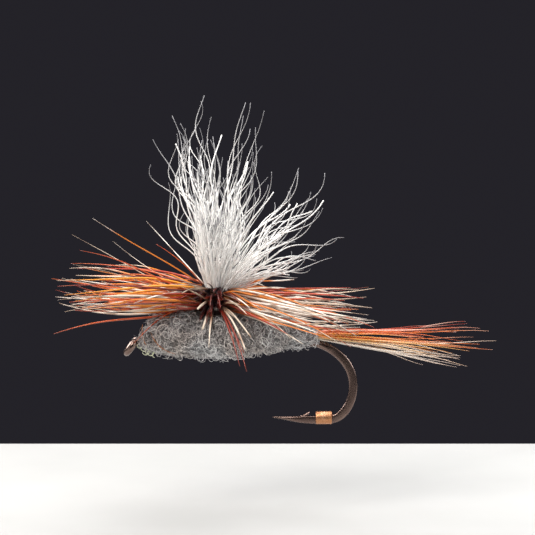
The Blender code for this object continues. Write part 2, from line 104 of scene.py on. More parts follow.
UNDERFUR_LENGTHS = (1.6, 5.2)
UNDERFUR_LEANS = (4.0, 17.0)
BUTT_HAIRS = 26
BUTT_POINTS = 10

# Hackle
HACKLE_STACK = 1.6
QUILL_TURNS = 4
QUILL_THICKNESS = 0.1
BARB_POINTS = 16
BARB_SIDES = 6
BARB_RADIUS = 0.068
CLUMP_SIZE = 5
CLUMP_PULL = 0.78
QUILL_SIDES = 8
QUILL_STEPS_PER_TURN = 28
CLUMP_TURN = 0.16
CLUMP_RISE = 0.45
CLUMP_LENGTH = 2.0
CLUMP_TURN_LIMIT = 0.3
CLUMP_RISE_LIMIT = 0.8
BARB_SIDE_DRIFT = 0.06
BARB_BOW = 0.13
BARB_TWIST = 0.01
SHORTEST_BARB = 0.14
NEAR_BARB_SWELL = 1.45
NEAR_SWELL_ANGLE = 45
NEAR_HALF_ANGLE = 55
# Painted shade: near-side barbs, those the camera faces, are darkened so the hackle's hub reads as a shaded
# knot
NEAR_PAINTED_SHADE = 0.25

# Barbs of each feather by side: how many, heading and its spread in degrees, slope and its
# spread, the longest share of the full length and how far most fall short of it, droop of the tip.
# Heading 0 is to the tail, 180 to the eye and -90 the side that the camera sees, nearly bare.
BARB_GROUPS = {
    "brown_hackle": (
        (42, 180.0, 26.0, 0.05, 0.075, 1.0, 0.2, 0.02),
        (18, 180.0, 44.0, 0.06, 0.2, 0.48, 0.08, 0.05),
        (28, 0.0, 26.0, -0.09, 0.07, 1.0, 0.18, 0.0),
        (12, 0.0, 44.0, -0.09, 0.18, 0.46, 0.08, 0.05),
        (24, 90.0, 26.0, -0.08, 0.05, 0.96, 0.14, 0.02),
        (2, -40.0, 10.0, -0.2, 0.04, 0.86, 0.1, 0.06),
        (3, -144.0, 8.0, 0.02, 0.04, 0.78, 0.14, 0.08),
        (5, -84.0, 26.0, -0.16, 0.18, 0.27, 0.04, 0.12),
        (80, -90.0, 50.0, -0.1, 0.4, 0.165, 0.02, 0.1),
    ),
    "grizzly_hackle": (
        (26, 180.0, 26.0, 0.06, 0.075, 1.0, 0.22, 0.01),
        (20, 180.0, 46.0, 0.08, 0.22, 0.46, 0.1, 0.05),
        (36, 0.0, 26.0, -0.11, 0.075, 1.0, 0.18, 0.0),
        (18, 0.0, 46.0, -0.08, 0.2, 0.46, 0.1, 0.05),
        (18, 90.0, 26.0, -0.08, 0.05, 0.96, 0.14, 0.02),
        (4, -34.0, 10.0, -0.2, 0.04, 0.86, 0.1, 0.05),
        (2, -142.0, 8.0, 0.02, 0.04, 0.72, 0.14, 0.08),
    ),
}
SIDE_LIMIT = 60.0
SLOPE_LIMIT = 1.7
STEEP = 0.22
STEEP_THINNING = 0.62
NEAR_BARB_TONES = (0.12, 0.44)
LONE_BROWN_TONE = 0.45
# Painted shade: NEAR_PACE and STUB_PACE stretch the near-black root further out along near-side barbs, over
# the hub
NEAR_PACE = (0.35, 0.45)
STUB_PACE = 0.2
STUB_SHARE = 0.3
FULL_PACE_SHARE = 0.55
REAR_PALE_SLOPE = -0.12
PALE_TONES = (0.7515, 0.655)
PALE_SHARE = (0.3, 0.62)
# Painted shade: the near-black of the hackle's shaded hub, laid on the barbs where they leave the quill
ROOT_PAINTED_SHADE = (0.03, 0.021, 0.027)

# Single barbs that stand out: heading, slope, share of the full length, droop, height in the
# stack from 0 to 1, and 1 for a broken, blunt end
LONE_BARBS = {
    "brown_hackle": (
        (-172.0, -0.05, 1.0, 0.09, 0.05, 0),
        (-165.0, 0.02, 0.51, 0.42, 0.05, 0),
        (-75.0, -0.2, 0.48, 0.46, 0.1, 0),
        (-72.0, -0.12, 0.52, 0.54, 0.12, 0),
        (-68.0, -0.15, 0.42, 0.42, 0.06, 0),
        (-160.0, 1.25, 0.4, 0.35, 0.95, 0),
        (-14.0, 0.0, 0.92, 0.22, 0.15, 0),
        (-22.0, -0.1, 0.9, 0.12, 0.05, 0),
        (20.0, 0.28, 0.42, 0.0, 0.95, 0),
        (204.0, 0.4, 0.88, 0.02, 0.6, 0),
        (168.0, 0.24, 0.94, 0.06, 0.7, 0),
    ),
    "grizzly_hackle": (
        (-117.0, -0.25, 0.23, 0.05, 0.55, 1),
        (-108.0, -0.62, 0.22, 0.05, 0.05, 1),
        (-60.0, -0.45, 0.22, 0.05, 0.35, 1),
        (-99.0, -0.4, 0.32, 0.3, 0.0, 0),
        (-64.0, -0.06, 0.5, 0.34, 0.08, 1),
        (-57.0, -0.1, 0.4, 0.3, 0.15, 1),
        (-24.0, -0.04, 0.8, 0.18, 0.1, 0),
        (-44.0, -0.14, 0.66, 0.1, 0.2, 0),
        (-36.0, -0.2, 0.72, 0.04, 0.1, 0),
        (28.0, 0.14, 0.4, 0.0, 0.98, 1),
        (18.0, 0.04, 0.52, 0.0, 0.98, 1),
        (190.0, 0.64, 0.76, 0.03, 1.0, 0),
        (160.0, 0.46, 0.7, 0.0, 0.7, 0),
        (172.0, 0.22, 0.9, -0.2, 0.6, 0),
        (140.0, 0.8, 0.58, 0.06, 0.9, 0),
        (196.0, 0.3, 0.9, 0.02, 0.5, 0),
    ),
}

# Tail
TAIL_STRANDS = 4
TAIL_RADIUS = 0.052
TAIL_POINTS = 18
TAIL_END_POINTS = 6
TAIL_EXIT = 0.6

# Dubbing: the fur's outline along the body, as (place along, bottom, top) in shares of the
# length and height of the dubbed nodes together
FUR_OUTLINE = (
    (-0.067, 0.36, 0.43),
    (-0.044, 0.31, 0.55),
    (-0.015, 0.26, 0.71),
    (0.023, 0.23, 0.84),
    (0.06, 0.21, 0.91),
    (0.165, 0.17, 0.95),
    (0.29, 0.13, 0.97),
    (0.43, 0.12, 0.97),
    (0.62, 0.2, 0.93),
    (0.777, 0.26, 0.83),
    (0.857, 0.32, 0.76),
    (0.942, 0.36, 0.63),
    (1.008, 0.39, 0.53),
    (1.037, 0.42, 0.49),
)
LOOSE_FUR_RADIUS = 0.0165
WOUND_FUR_RADIUS = 0.015
FUR_POINTS = 14
FUR_SIDES = 3
FUR_PER_PIECE = 2400
FUR_PIECES = 4
FUR_REACH = 0.34
FUR_WOUND_SHARE = 0.48
FUR_WILD_SHARE = 0.12
FUR_CURL = (0.1, 0.32)
# Painted light: loose dubbing fibres lighter on the underside and darker on top
FUR_UNDERSIDE_PAINTED_LIGHT = 0.16
FUR_SINK = 0.13
FUR_WILD_LIFT = 0.14
FUR_EYE_SIDE_SHARE = 0.4
FUR_SWEEP = (1.4, 6.4)
HUB_CLEARANCE = 1.0
CORE_DEPTH = 0.14
CORE_ROWS = 48
CORE_COLUMNS = 56

# Stray fibres on the near side of the thorax: place along, height, radius, start and sweep of the
# arc, and tone: orange 0, cream 0.5, pale green 1
STRAY_LOOPS = (
    (0.52, 0.84, 2.3, 3.45, 1.0, 0.0),
    (0.22, 0.62, 1.5, 2.9, 0.9, 0.0),
    (0.3, 0.42, 0.78, 2.2, 3.4, 0.5),
    (0.22, 0.6, 0.55, 1.0, 2.6, 0.5),
    (-0.17, 0.31, 0.16, 1.6, 4.6, 1.0),
    (-0.11, 0.26, 0.19, 2.4, 4.4, 1.0),
    (-0.05, 0.21, 0.16, 3.0, 4.0, 1.0),
    (0.0, 0.18, 0.19, 2.0, 5.0, 1.0),
    (0.06, 0.14, 0.16, 0.6, 4.2, 1.0),
    (-0.08, 0.2, 0.22, 3.4, 3.0, 1.0),
)

STRAY_RADIUS = 0.03
STRAY_POINTS = 28
STRAY_STANDOFF = 0.26

# Thread
THREAD_RADIUS = 0.036
THREAD_SIDES = 6
THREAD_STEPS_PER_TURN = 22
THREAD_OVERLAP = 1.12

# Wire: the stations along the CAD hook where its centre and size are read
WIRE_SIDES = 36
WIRE_STEPS = 6
FORGED_SQUARENESS = 3.4
SPEAR_STATIONS = (0.45, 1.0, 1.65, 2.65, 3.35)
BEND_REACH = 2.6
BEND_TURN = 72.0
BEND_STATIONS = 13
SHANK_BACK = 3.2
SHANK_FRONT = 0.95
SHANK_STATIONS = 7
SPEAR_TOP = -4.0
BARB_FOOT = -4.45
EYE_SWELL = 1.08
BARB_LENGTH = 0.52
BARB_RISE = 0.36
BARB_SAG = 0.04
BARB_SIZES = ((0.15, 0.14), (0.11, 0.11), (0.05, 0.05))
SLEEVE_BORE = 0.27
SLEEVE_EDGE = 0.03
SLEEVE_ROUNDING = ((0.0, 2.5), (0.3, 1.0), (1.0, 0.3), (2.5, 0.0))
SLEEVE_COLUMNS = 64

# Stage and camera
VIEW_WIDTH = 34.8
VIEW_CENTRE = (8.87, 5.13)
VIEW_ELEVATION = 6.0
LENS = 150.0
SENSOR = 36.0
CLIP = (0.005, 10.0)
FLOOR_DROP = 6.0
FLOOR_WIDTH = 150.0
FLOOR_DEPTH = 65.0
FLOOR_NEARER = 7.5
WORLD_COLOUR = (0.0175, 0.0165, 0.0215, 1.0)
AIM = (VIEW_CENTRE[0], 0.0, 4.0)

# Lights: name, place, size, power and colour
LIGHTS = (
    ("key", (-55.0, -85.0, 125.0), 70.0, 0.305, (1.0, 0.97, 0.93)),
    ("overhead", (20.0, 10.0, 120.0), 120.0, 0.268, (1.0, 0.99, 0.98)),
    ("fill", (120.0, -90.0, 50.0), 90.0, 0.06, (0.95, 0.97, 1.0)),
    ("low_left", (-140.0, -120.0, 4.0), 100.0, 0.028, (1.0, 0.98, 0.96)),
    ("rim_left", (-100.0, 70.0, 60.0), 60.0, 0.17, (1.0, 0.98, 0.96)),
    ("rim_right", (120.0, 60.0, 60.0), 60.0, 0.17, (0.97, 0.98, 1.0)),
)


def box_mm(node):
    low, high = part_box(node)
    return np.array(low) / MM, np.array(high) / MM


def node_points(node):
    """All the vertices of a CAD node, in millimetres."""
    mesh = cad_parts[node].data
    flat = np.empty(len(mesh.vertices) * 3)
    mesh.vertices.foreach_get("co", flat)
    return flat.reshape(-1, 3) / MM


def unit(vectors):
    return vectors / np.maximum(np.linalg.norm(vectors, axis=-1, keepdims=True), 1e-12)


def smoothstep(low, high, value):
    share = np.clip((value - low) / (high - low), 0.0, 1.0)
    return share * share * (3 - 2 * share)


def level_directions(angles):
    """Unit directions in the level plane, at these angles from +X."""
    return np.stack([np.cos(angles), np.sin(angles), np.zeros(len(angles))], axis=1)


def signed_turn(degrees):
    """Degrees brought between -180 and 180."""
    return (degrees + 180) % 360 - 180


# ---- materials


def new_material(name, metallic=0.0, specular=0.5):
    """A Principled material and its node tree."""
    stuff = bpy.data.materials.new(name)
    stuff.use_nodes = True
    shader = stuff.node_tree.nodes["Principled BSDF"]
    shader.inputs["Metallic"].default_value = metallic
    shader.inputs["Specular IOR Level"].default_value = specular
    return stuff, stuff.node_tree


def feed(tree, value, socket):
    """Give a socket a link, a colour or a number."""
    if hasattr(value, "is_output"):
        tree.links.new(value, socket)
    elif isinstance(value, tuple):
        socket.default_value = (*value, 1.0)
    else:
        socket.default_value = value


def finished(stuff, colour, roughness, height=None, strength=0.0, distance=FINE_BUMP):
    """Feed a colour, a roughness and a bump height into the material's shader."""
    tree = stuff.node_tree
    shader = tree.nodes["Principled BSDF"]
    feed(tree, colour, shader.inputs["Base Color"])
    feed(tree, roughness, shader.inputs["Roughness"])
    if height is not None:
        node = tree.nodes.new("ShaderNodeBump")
        node.inputs["Strength"].default_value = strength
        node.inputs["Distance"].default_value = distance
        feed(tree, height, node.inputs["Height"])
        feed(tree, node.outputs["Normal"], shader.inputs["Normal"])
    return stuff


def attribute(tree, name):
    node = tree.nodes.new("ShaderNodeAttribute")
    node.attribute_name = name
    return node.outputs["Fac"]


def noise(tree, scale, detail=3.0, stretch=None):
    """Noise over the object's own space; scale is in repeats for each metre."""
    place = tree.nodes.new("ShaderNodeTexCoord").outputs["Object"]
    if stretch:
        mapping = tree.nodes.new("ShaderNodeMapping")
        mapping.inputs["Scale"].default_value = stretch
        feed(tree, place, mapping.inputs["Vector"])
        place = mapping.outputs["Vector"]
    node = tree.nodes.new("ShaderNodeTexNoise")
    node.inputs["Scale"].default_value = scale
    node.inputs["Detail"].default_value = detail
    feed(tree, place, node.inputs["Vector"])
    return node.outputs["Fac"]


def ramp(tree, value, *stops):
    """Colours for a value: stops are (position, (r, g, b))."""
    node = tree.nodes.new("ShaderNodeValToRGB")
    bar = node.color_ramp
    while len(bar.elements) < len(stops):
        bar.elements.new(0.5)
    for element, (position, colour) in zip(bar.elements, stops):
        element.position = position
        element.color = (*colour, 1.0)
    feed(tree, value, node.inputs["Fac"])
    return node.outputs["Color"]


def mix_colour(tree, share, low, high, blend="MIX"):
    node = tree.nodes.new("ShaderNodeMix")
    node.data_type = "RGBA"
    node.blend_type = blend
    factor, first, second = node.inputs[0], node.inputs[6], node.inputs[7]
    feed(tree, share, factor)
    feed(tree, low, first)
    feed(tree, high, second)
    return node.outputs[2]


def multiplied(tree, first, second):
    return mix_colour(tree, 1.0, first, second, "MULTIPLY")


def calculate(tree, operation, first, second=0.0):
    node = tree.nodes.new("ShaderNodeMath")
    node.operation = operation
    feed(tree, first, node.inputs[0])
    feed(tree, second, node.inputs[1])
    return node.outputs[0]


def spread(tree, value, low, high):
    """Bring a 0 to 1 value into a range."""
    node = tree.nodes.new("ShaderNodeMapRange")
    node.inputs["To Min"].default_value = low
    node.inputs["To Max"].default_value = high
    feed(tree, value, node.inputs["Value"])
    return node.outputs["Result"]


def crossing(tree, position, low, high):
    """0 before a place along the fibre and 1 after it, with a soft change between."""
    node = tree.nodes.new("ShaderNodeMapRange")
    node.interpolation_type = "SMOOTHSTEP"
    node.inputs["From Min"].default_value = low
    node.inputs["From Max"].default_value = high
    feed(tree, calculate(tree, "SUBTRACT", attribute(tree, "along"), position), node.inputs["Value"])
    return node.outputs["Result"]


def second_tone(tree, factor):
    """Another random value for each fibre, made from its tone."""
    return calculate(tree, "FRACT", calculate(tree, "MULTIPLY", attribute(tree, "tone"), factor))


def white_hair_material():
    """White hair with painted warm shade at the root; most hairs darken towards the tip as painted shade, and
    blunt ones stay pale.
    """
    stuff, tree = new_material("white_calf_hair")
    tone = attribute(tree, "tone")
    along = attribute(tree, "along")
    pale, paler, palest = (0.82, 0.8, 0.775), (0.92, 0.905, 0.88), (0.98, 0.97, 0.95)
    strand = ramp(tree, tone, (0.0, pale), (0.4, paler), (1.0, palest))
    # Painted shade: a warm cream shade at the foot of each hair, where it leaves the post
    root = ramp(tree, along, (0.0, (0.82, 0.7, 0.6)), (0.16, (0.97, 0.91, 0.86)), (0.3, WHITE))
    # Painted shade: fine tips darkened to grey, so thin ends read dim against the dark backdrop
    tip = ramp(tree, along, (0.66, WHITE), (1.0, (0.2, 0.2, 0.22)))
    tip = mix_colour(tree, calculate(tree, "GREATER_THAN", tone, 1 - BLUNT_SHARE), tip, WHITE)
    colour = multiplied(tree, multiplied(tree, strand, root), tip)
    return finished(stuff, colour, spread(tree, tone, 0.44, 0.6), noise(tree, 20000.0, 1.0), 0.07)


def barb_finished(stuff, colour):
    """Barbs are painted nearly black where they leave the quill, as painted shade of the hackle's hub, and a
    little darker at the tip.
    """
    tree = stuff.node_tree
    shade = ramp(
        tree,
        attribute(tree, "along"),
        (0.0, (0.1, 0.04, 0.025)),
        (0.08, (0.46, 0.31, 0.24)),
        (0.16, WHITE),
        (0.74, WHITE),
        (1.0, (0.55, 0.5, 0.48)),
    )
    shaded = multiplied(tree, colour, shade)
    # Painted shade: the root blends into the near-black of the shaded hub
    colour = mix_colour(tree, crossing(tree, 0.0, 0.012, 0.07), ROOT_PAINTED_SHADE, shaded)
    roughness = spread(tree, noise(tree, 1500.0, 2.0), 0.24, 0.44)
    return finished(stuff, colour, roughness, noise(tree, 22000.0, 1.0), 0.1)


def brown_barb_material():
    """Rust to orange barbs; some turn cream part of the way out."""
    stuff, tree = new_material("rust_hackle")
    body = ramp(
        tree,
        attribute(tree, "tone"),
        (0.0, (0.1, 0.01, 0.006)),
        (0.3, (0.38, 0.036, 0.01)),
        (0.6, (0.6, 0.105, 0.012)),
        (1.0, (0.78, 0.3, 0.025)),
    )
    streak = spread(tree, noise(tree, 700.0, 2.0), -0.5, 0.45)
    body = mix_colour(tree, streak, body, (0.76, 0.3, 0.03))
    turn = calculate(tree, "ADD", calculate(tree, "MULTIPLY", second_tone(tree, 17.3), 2.6), 0.28)
    cream = crossing(tree, turn, 0.0, 0.12)
    return barb_finished(stuff, mix_colour(tree, cream, body, (0.7, 0.56, 0.42)))


def grizzly_barb_material():
    """Cream barbs with faint grey bars; some are orange near the quill."""
    stuff, tree = new_material("barred_hackle")
    tone = attribute(tree, "tone")
    pale = ramp(tree, tone, (0.0, (0.36, 0.25, 0.17)), (0.45, (0.68, 0.57, 0.46)), (1.0, (0.92, 0.88, 0.82)))
    along = calculate(tree, "MULTIPLY", attribute(tree, "along"), 17.0)
    phase = calculate(tree, "ADD", along, calculate(tree, "MULTIPLY", tone, 19.0))
    wave = spread(tree, calculate(tree, "SINE", phase), 0.5, 1.0)
    bars = ramp(tree, wave, (0.0, WHITE), (0.8, WHITE), (0.97, (0.46, 0.38, 0.33)))
    barred = multiplied(tree, pale, bars)
    turn = calculate(tree, "SUBTRACT", calculate(tree, "MULTIPLY", second_tone(tree, 23.1), 1.6), 0.75)
    cream = crossing(tree, turn, 0.0, 0.14)
    return barb_finished(stuff, mix_colour(tree, cream, (0.62, 0.18, 0.015), barred))


def quill_material():
    """The feather stems: their dark brown pushed near black as painted shade of the hackle's hub."""
    stuff, tree = new_material("quill_hub_shade", specular=0.1)
    streak = noise(tree, 4000.0, 3.0)
    colour = ramp(tree, streak, (0.35, (0.01, 0.004, 0.003)), (0.7, (0.07, 0.022, 0.012)))
    return finished(stuff, colour, spread(tree, streak, 0.6, 0.85), streak, 0.4)


def tail_material():
    """Tail strands, coloured by how high each one ends: cream, gold, orange and red."""
    stuff, tree = new_material("tail_strands")
    body = ramp(
        tree,
        attribute(tree, "tone"),
        (0.0, (0.66, 0.6, 0.54)),
        (0.3, (0.76, 0.67, 0.56)),
        (0.42, (0.76, 0.46, 0.16)),
        (0.55, (0.72, 0.27, 0.03)),
        (0.72, (0.58, 0.11, 0.015)),
        (1.0, (0.38, 0.045, 0.014)),
    )
    streak = noise(tree, 1.0, 2.0, (160.0, 2600.0, 2600.0))
    # Painted highlight: pinkish-cream streaks along the strands
    pale = ramp(tree, streak, (0.52, (0.0, 0.0, 0.0)), (0.66, (0.55, 0.55, 0.55)))
    body = mix_colour(tree, pale, body, (0.9, 0.74, 0.62))
    root, tip = (0.5, 0.42, 0.38), (0.62, 0.48, 0.42)
    ends = ramp(tree, attribute(tree, "along"), (0.0, root), (0.12, WHITE), (0.75, WHITE), (1.0, tip))
    colour = multiplied(tree, body, ends)
    return finished(stuff, colour, spread(tree, streak, 0.22, 0.46), noise(tree, 22000.0, 1.0), 0.25)


def fur_material():
    stuff, tree = new_material("grey_dubbing_fibres")
    tone = attribute(tree, "tone")
    # The tone carries painted light and shade from the fibres' placing
    strand = ramp(
        tree,
        tone,
        (0.0, (0.09, 0.085, 0.085)),
        (0.35, (0.27, 0.265, 0.27)),
        (0.7, (0.63, 0.62, 0.62)),
        (1.0, (0.97, 0.96, 0.95)),
    )
    warm = ramp(tree, noise(tree, 420.0, 2.0), (0.42, WHITE), (0.7, (0.88, 0.8, 0.75)))
    colour = multiplied(tree, strand, warm)
    return finished(stuff, colour, spread(tree, tone, 0.5, 0.75), noise(tree, 24000.0, 1.0), 0.08)


def stray_material():
    stuff, tree = new_material("stray_fibres")
    orange, cream, green = (0.56, 0.2, 0.05), (0.78, 0.7, 0.64), (0.84, 0.86, 0.62)
    strand = ramp(tree, attribute(tree, "tone"), (0.0, orange), (0.5, cream), (1.0, green))
    fleck = ramp(tree, noise(tree, 3000.0, 2.0), (0.3, (0.75, 0.75, 0.75)), (0.7, WHITE))
    roughness = spread(tree, noise(tree, 5000.0, 2.0), 0.35, 0.6)
    return finished(stuff, multiplied(tree, strand, fleck), roughness, noise(tree, 20000.0, 1.0), 0.2)


def fur_core_material():
    stuff, tree = new_material("grey_dubbing_core")
    # The dubbing's own grey, darkened as painted shade deep in the fur under the loose fibres
    clumps = noise(tree, 2600.0, 5.0)
    dark, grey, pale = (0.09, 0.085, 0.085), (0.19, 0.18, 0.18), (0.28, 0.27, 0.27)
    colour = ramp(tree, clumps, (0.3, dark), (0.6, grey), (0.75, pale))
    return finished(stuff, colour, spread(tree, clumps, 0.8, 1.0), noise(tree, 9000.0, 4.0), 0.8, COARSE_BUMP)


def thread_material():
    stuff, tree = new_material("dark_waxed_thread", specular=0.15)
    fine = noise(tree, 30000.0, 2.0)
    colour = ramp(tree, fine, (0.3, (0.01, 0.006, 0.005)), (0.7, (0.04, 0.022, 0.016)))
    return finished(stuff, colour, spread(tree, fine, 0.55, 0.85), fine, 0.4)


def bronze_material():
    stuff, tree = new_material("bronzed_wire", metallic=1.0)
    dark, brown, pale = (0.15, 0.1, 0.088), (0.19, 0.13, 0.11), (0.24, 0.17, 0.14)
    colour = ramp(tree, noise(tree, 700.0, 4.0), (0.3, dark), (0.55, brown), (0.75, pale))
    grain = noise(tree, 9000.0, 3.0)
    return finished(stuff, colour, spread(tree, grain, 0.22, 0.32), grain, 0.02)


def copper_material():
    stuff, tree = new_material("bright_copper", metallic=1.0)
    dark, red, pale = (0.38, 0.15, 0.06), (0.54, 0.26, 0.13), (0.72, 0.42, 0.26)
    colour = ramp(tree, noise(tree, 1500.0, 4.0), (0.3, dark), (0.55, red), (0.8, pale))
    grain = noise(tree, 12000.0, 3.0, (1.0, 0.15, 0.15))
    return finished(stuff, colour, spread(tree, grain, 0.36, 0.52), grain, 0.12)


def floor_material():
    stuff, tree = new_material("pale_floor")
    mottle = ramp(tree, noise(tree, 60.0, 3.0), (0.3, (0.33, 0.33, 0.325)), (0.7, (0.37, 0.37, 0.365)))
    return finished(stuff, mottle, 0.8)


# ---- fibres


def fibre_mesh(name, paths, radii, sides, tones, across, pace=None):
    """Round tapered fibres in one mesh.

    paths is (fibres, points, 3) and radii (fibres, points); across is a direction for each fibre
    that its path never runs along.  The mesh keeps a tone for each fibre, how far along it each
    point lies (times the fibre's pace), and a compact UV map with a band for each fibre.
    """
    count, steps, _ = paths.shape
    pace = np.ones(count) if pace is None else pace
    ahead = unit(np.gradient(paths, axis=1))
    side = unit(np.cross(ahead, across[:, None, :]))
    lift = np.cross(side, ahead)
    turn = 2 * np.pi * np.arange(sides) / sides
    ring = np.cos(turn)[:, None] * side[:, :, None, :] + np.sin(turn)[:, None] * lift[:, :, None, :]
    verts = paths[:, :, None, :] + ring * radii[:, :, None, None]
    number = np.arange(count * steps * sides).reshape(count, steps, sides)
    after = np.roll(number, -1, axis=2)
    quads = np.stack([number[:, :-1], after[:, :-1], after[:, 1:], number[:, 1:]], axis=-1)
    faces = quads.reshape(-1, 4).tolist() + number[:, 0, ::-1].tolist() + number[:, -1].tolist()
    mesh = bpy.data.meshes.new(name)
    mesh.from_pydata((verts.reshape(-1, 3) * MM).tolist(), [], faces)

    along = np.linspace(0.0, 1.0, steps)
    row = (np.arange(count)[:, None, None] + np.arange(sides + 1) / (sides + 1)) / count
    u = np.broadcast_to(along[None, :, None], (count, steps, sides + 1))
    v = np.broadcast_to(row, (count, steps, sides + 1))
    spots = np.stack([u, v], axis=-1)
    corners = np.stack([spots[:, :-1, :-1], spots[:, :-1, 1:], spots[:, 1:, 1:], spots[:, 1:, :-1]], axis=3)
    band = np.broadcast_to(row[:, 0, :1], (count, sides))
    caps = [np.stack([np.full((count, sides), end), band], axis=-1).reshape(-1) for end in (0.0, 1.0)]
    uv = np.concatenate([corners.reshape(-1), *caps])
    mesh.uv_layers.new(name=UV_NAME).data.foreach_set("uv", uv.astype(np.float32))

    tone = mesh.attributes.new("tone", "FLOAT", "POINT")
    tone.data.foreach_set("value", np.repeat(tones, steps * sides).astype(np.float32))
    place = mesh.attributes.new("along", "FLOAT", "POINT")
    paced = pace[:, None] * np.repeat(along, sides)[None, :]
    place.data.foreach_set("value", paced.ravel().astype(np.float32))
    mesh.shade_smooth()
    return mesh


def ringed_mesh(name, rings, closed=False):
    """Rings of points joined in turn; the two ends are capped, or joined to each other if closed."""
    count, columns, _ = rings.shape
    number = np.arange(count * columns).reshape(count, columns)
    rows = np.concatenate([number, number[:1]]) if closed else number
    after = np.roll(rows, -1, axis=1)
    quads = np.stack([rows[:-1], rows[1:], after[1:], after[:-1]], axis=-1).reshape(-1, 4)
    caps = [] if closed else [number[0].tolist(), number[-1, ::-1].tolist()]
    mesh = bpy.data.meshes.new(name)
    mesh.from_pydata((rings.reshape(-1, 3) * MM).tolist(), [], quads.tolist() + caps)
    mesh.shade_smooth()
    return mesh


def add_piece(name, mesh, material, slot, *nodes):
    """Put a mesh in the scene as a piece of the fly that stands for these CAD nodes."""
    piece = bpy.data.objects.new(name, mesh)
    bpy.context.scene.collection.objects.link(piece)
    mesh.materials.append(material)
    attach(piece, "root")
    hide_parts(*nodes)
    return piece


def add_fibres(name, material, slot, node, paths, radii, sides, tones, across, pace=None):
    """Add fibres as one piece that stands for a CAD node."""
    add_piece(name, fibre_mesh(name, paths, radii, sides, tones, across, pace), material, slot, node)


def shares(count):
    return np.linspace(0.0, 1.0, count)


def bezier(controls, t):
    """Cubic curves: controls is four arrays of (fibres, 3); gives (fibres, points, 3)."""
    first, second, third, last = [c[:, None, :] for c in controls]
    t = t[None, :, None]
    start = first * (1 - t) ** 3 + second * 3 * t * (1 - t) ** 2
    return start + third * 3 * t**2 * (1 - t) + last * t**3


def perpendicular(directions, seed):
    """Two unit directions square to each of these and to each other."""
    spin = unit(seed.normal(size=directions.shape))
    first = unit(np.cross(directions, spin))
    return first, np.cross(directions, first)


# ---- wing


post_low, post_high = box_mm("wing_post")
post_x = (post_low[0] + post_high[0]) / 2
tie_off_top = box_mm("hackle_tie_off_wraps")[1][2]
hackle_top = tie_off_top + HACKLE_STACK
post_points = node_points("wing_post")
neck_radius = np.abs(post_points[post_points[:, 2] < hackle_top, 1]).max()


def lock_ends(node):
    """Where a CAD lock leaves the top of the post, and its tip."""
    points = node_points(node)
    away = np.linalg.norm(points - np.array([post_x, 0.0, post_high[2]]), axis=1)
    order = away.argsort()
    return points[order[:LOCK_END_POINTS]].mean(axis=0), points[order[-LOCK_END_POINTS:]].mean(axis=0)


def tilted(directions, fan, seed):
    """Directions turned by a random few degrees either way."""
    first, second = perpendicular(directions, seed)
    limit = FAN_LIMIT * fan
    degrees = [np.clip(seed.normal(0.0, fan, len(directions)), -limit, limit) for _ in range(2)]
    amount, other = np.tan(np.radians(degrees))
    return unit(directions + first * amount[:, None] + second * other[:, None])


def wavy_hairs(roots, tips, seed):
    """Hairs that rise straight through the post, then flare and wave on their way to the tips."""
    count = len(roots)
    t = shares(HAIR_POINTS)
    reach = np.linalg.norm(tips - roots, axis=1, keepdims=True)
    lean = unit(tips - roots)
    rise = roots + UP * reach * seed.uniform(*HAIR_RISE, (count, 1))
    flare = (tips - roots) * np.array([1.0, 1.0, 0.0])
    lead = rise + flare * seed.uniform(*HAIR_FLARE, (count, 1)) + UP * (tips - rise)[:, 2:] * 0.45
    paths = bezier((roots, rise, lead, tips), t)
    first, second = perpendicular(lean, seed)
    turns = reach / HAIR_WAVELENGTH * seed.uniform(*HAIR_TURNS, (count, 1))
    phase = seed.uniform(0, 2 * np.pi, (count, 1))
    swell = smoothstep(0.22, 0.8, t)[None, :] * HAIR_WAVE * seed.uniform(*HAIR_SWELL, (count, 1))
    swing = np.sin(2 * np.pi * turns * t + phase) * swell
    sway = np.cos(2 * np.pi * turns * 0.8 * t + phase * 1.7) * swell * 0.6
    return paths + swing[:, :, None] * first[:, None, :] + sway[:, :, None] * second[:, None, :], t


def hair_radii(tones, t, seed):
    """Most hairs end in a fine point; the palest ones are cut blunt and stay thick."""
    count = len(tones)
    blunt = tones[:, None] > 1 - BLUNT_SHARE
    fine = 1 - smoothstep(0.45, 1.0, t)[None, :] * np.where(blunt, 0.1, 0.52)
    root = 0.85 + 0.15 * smoothstep(0.0, 0.3, t)
    size = seed.uniform(*HAIR_SIZES, (count, 1)) * np.where(blunt, 1.05, 1.0)
    return HAIR_RADIUS * fine * root[None, :] * size


def add_hair(name, material, node, paths, radii, tones, across):
    add_fibres(name, material, "white_hair", node, paths, radii, HAIR_SIDES, tones, across)


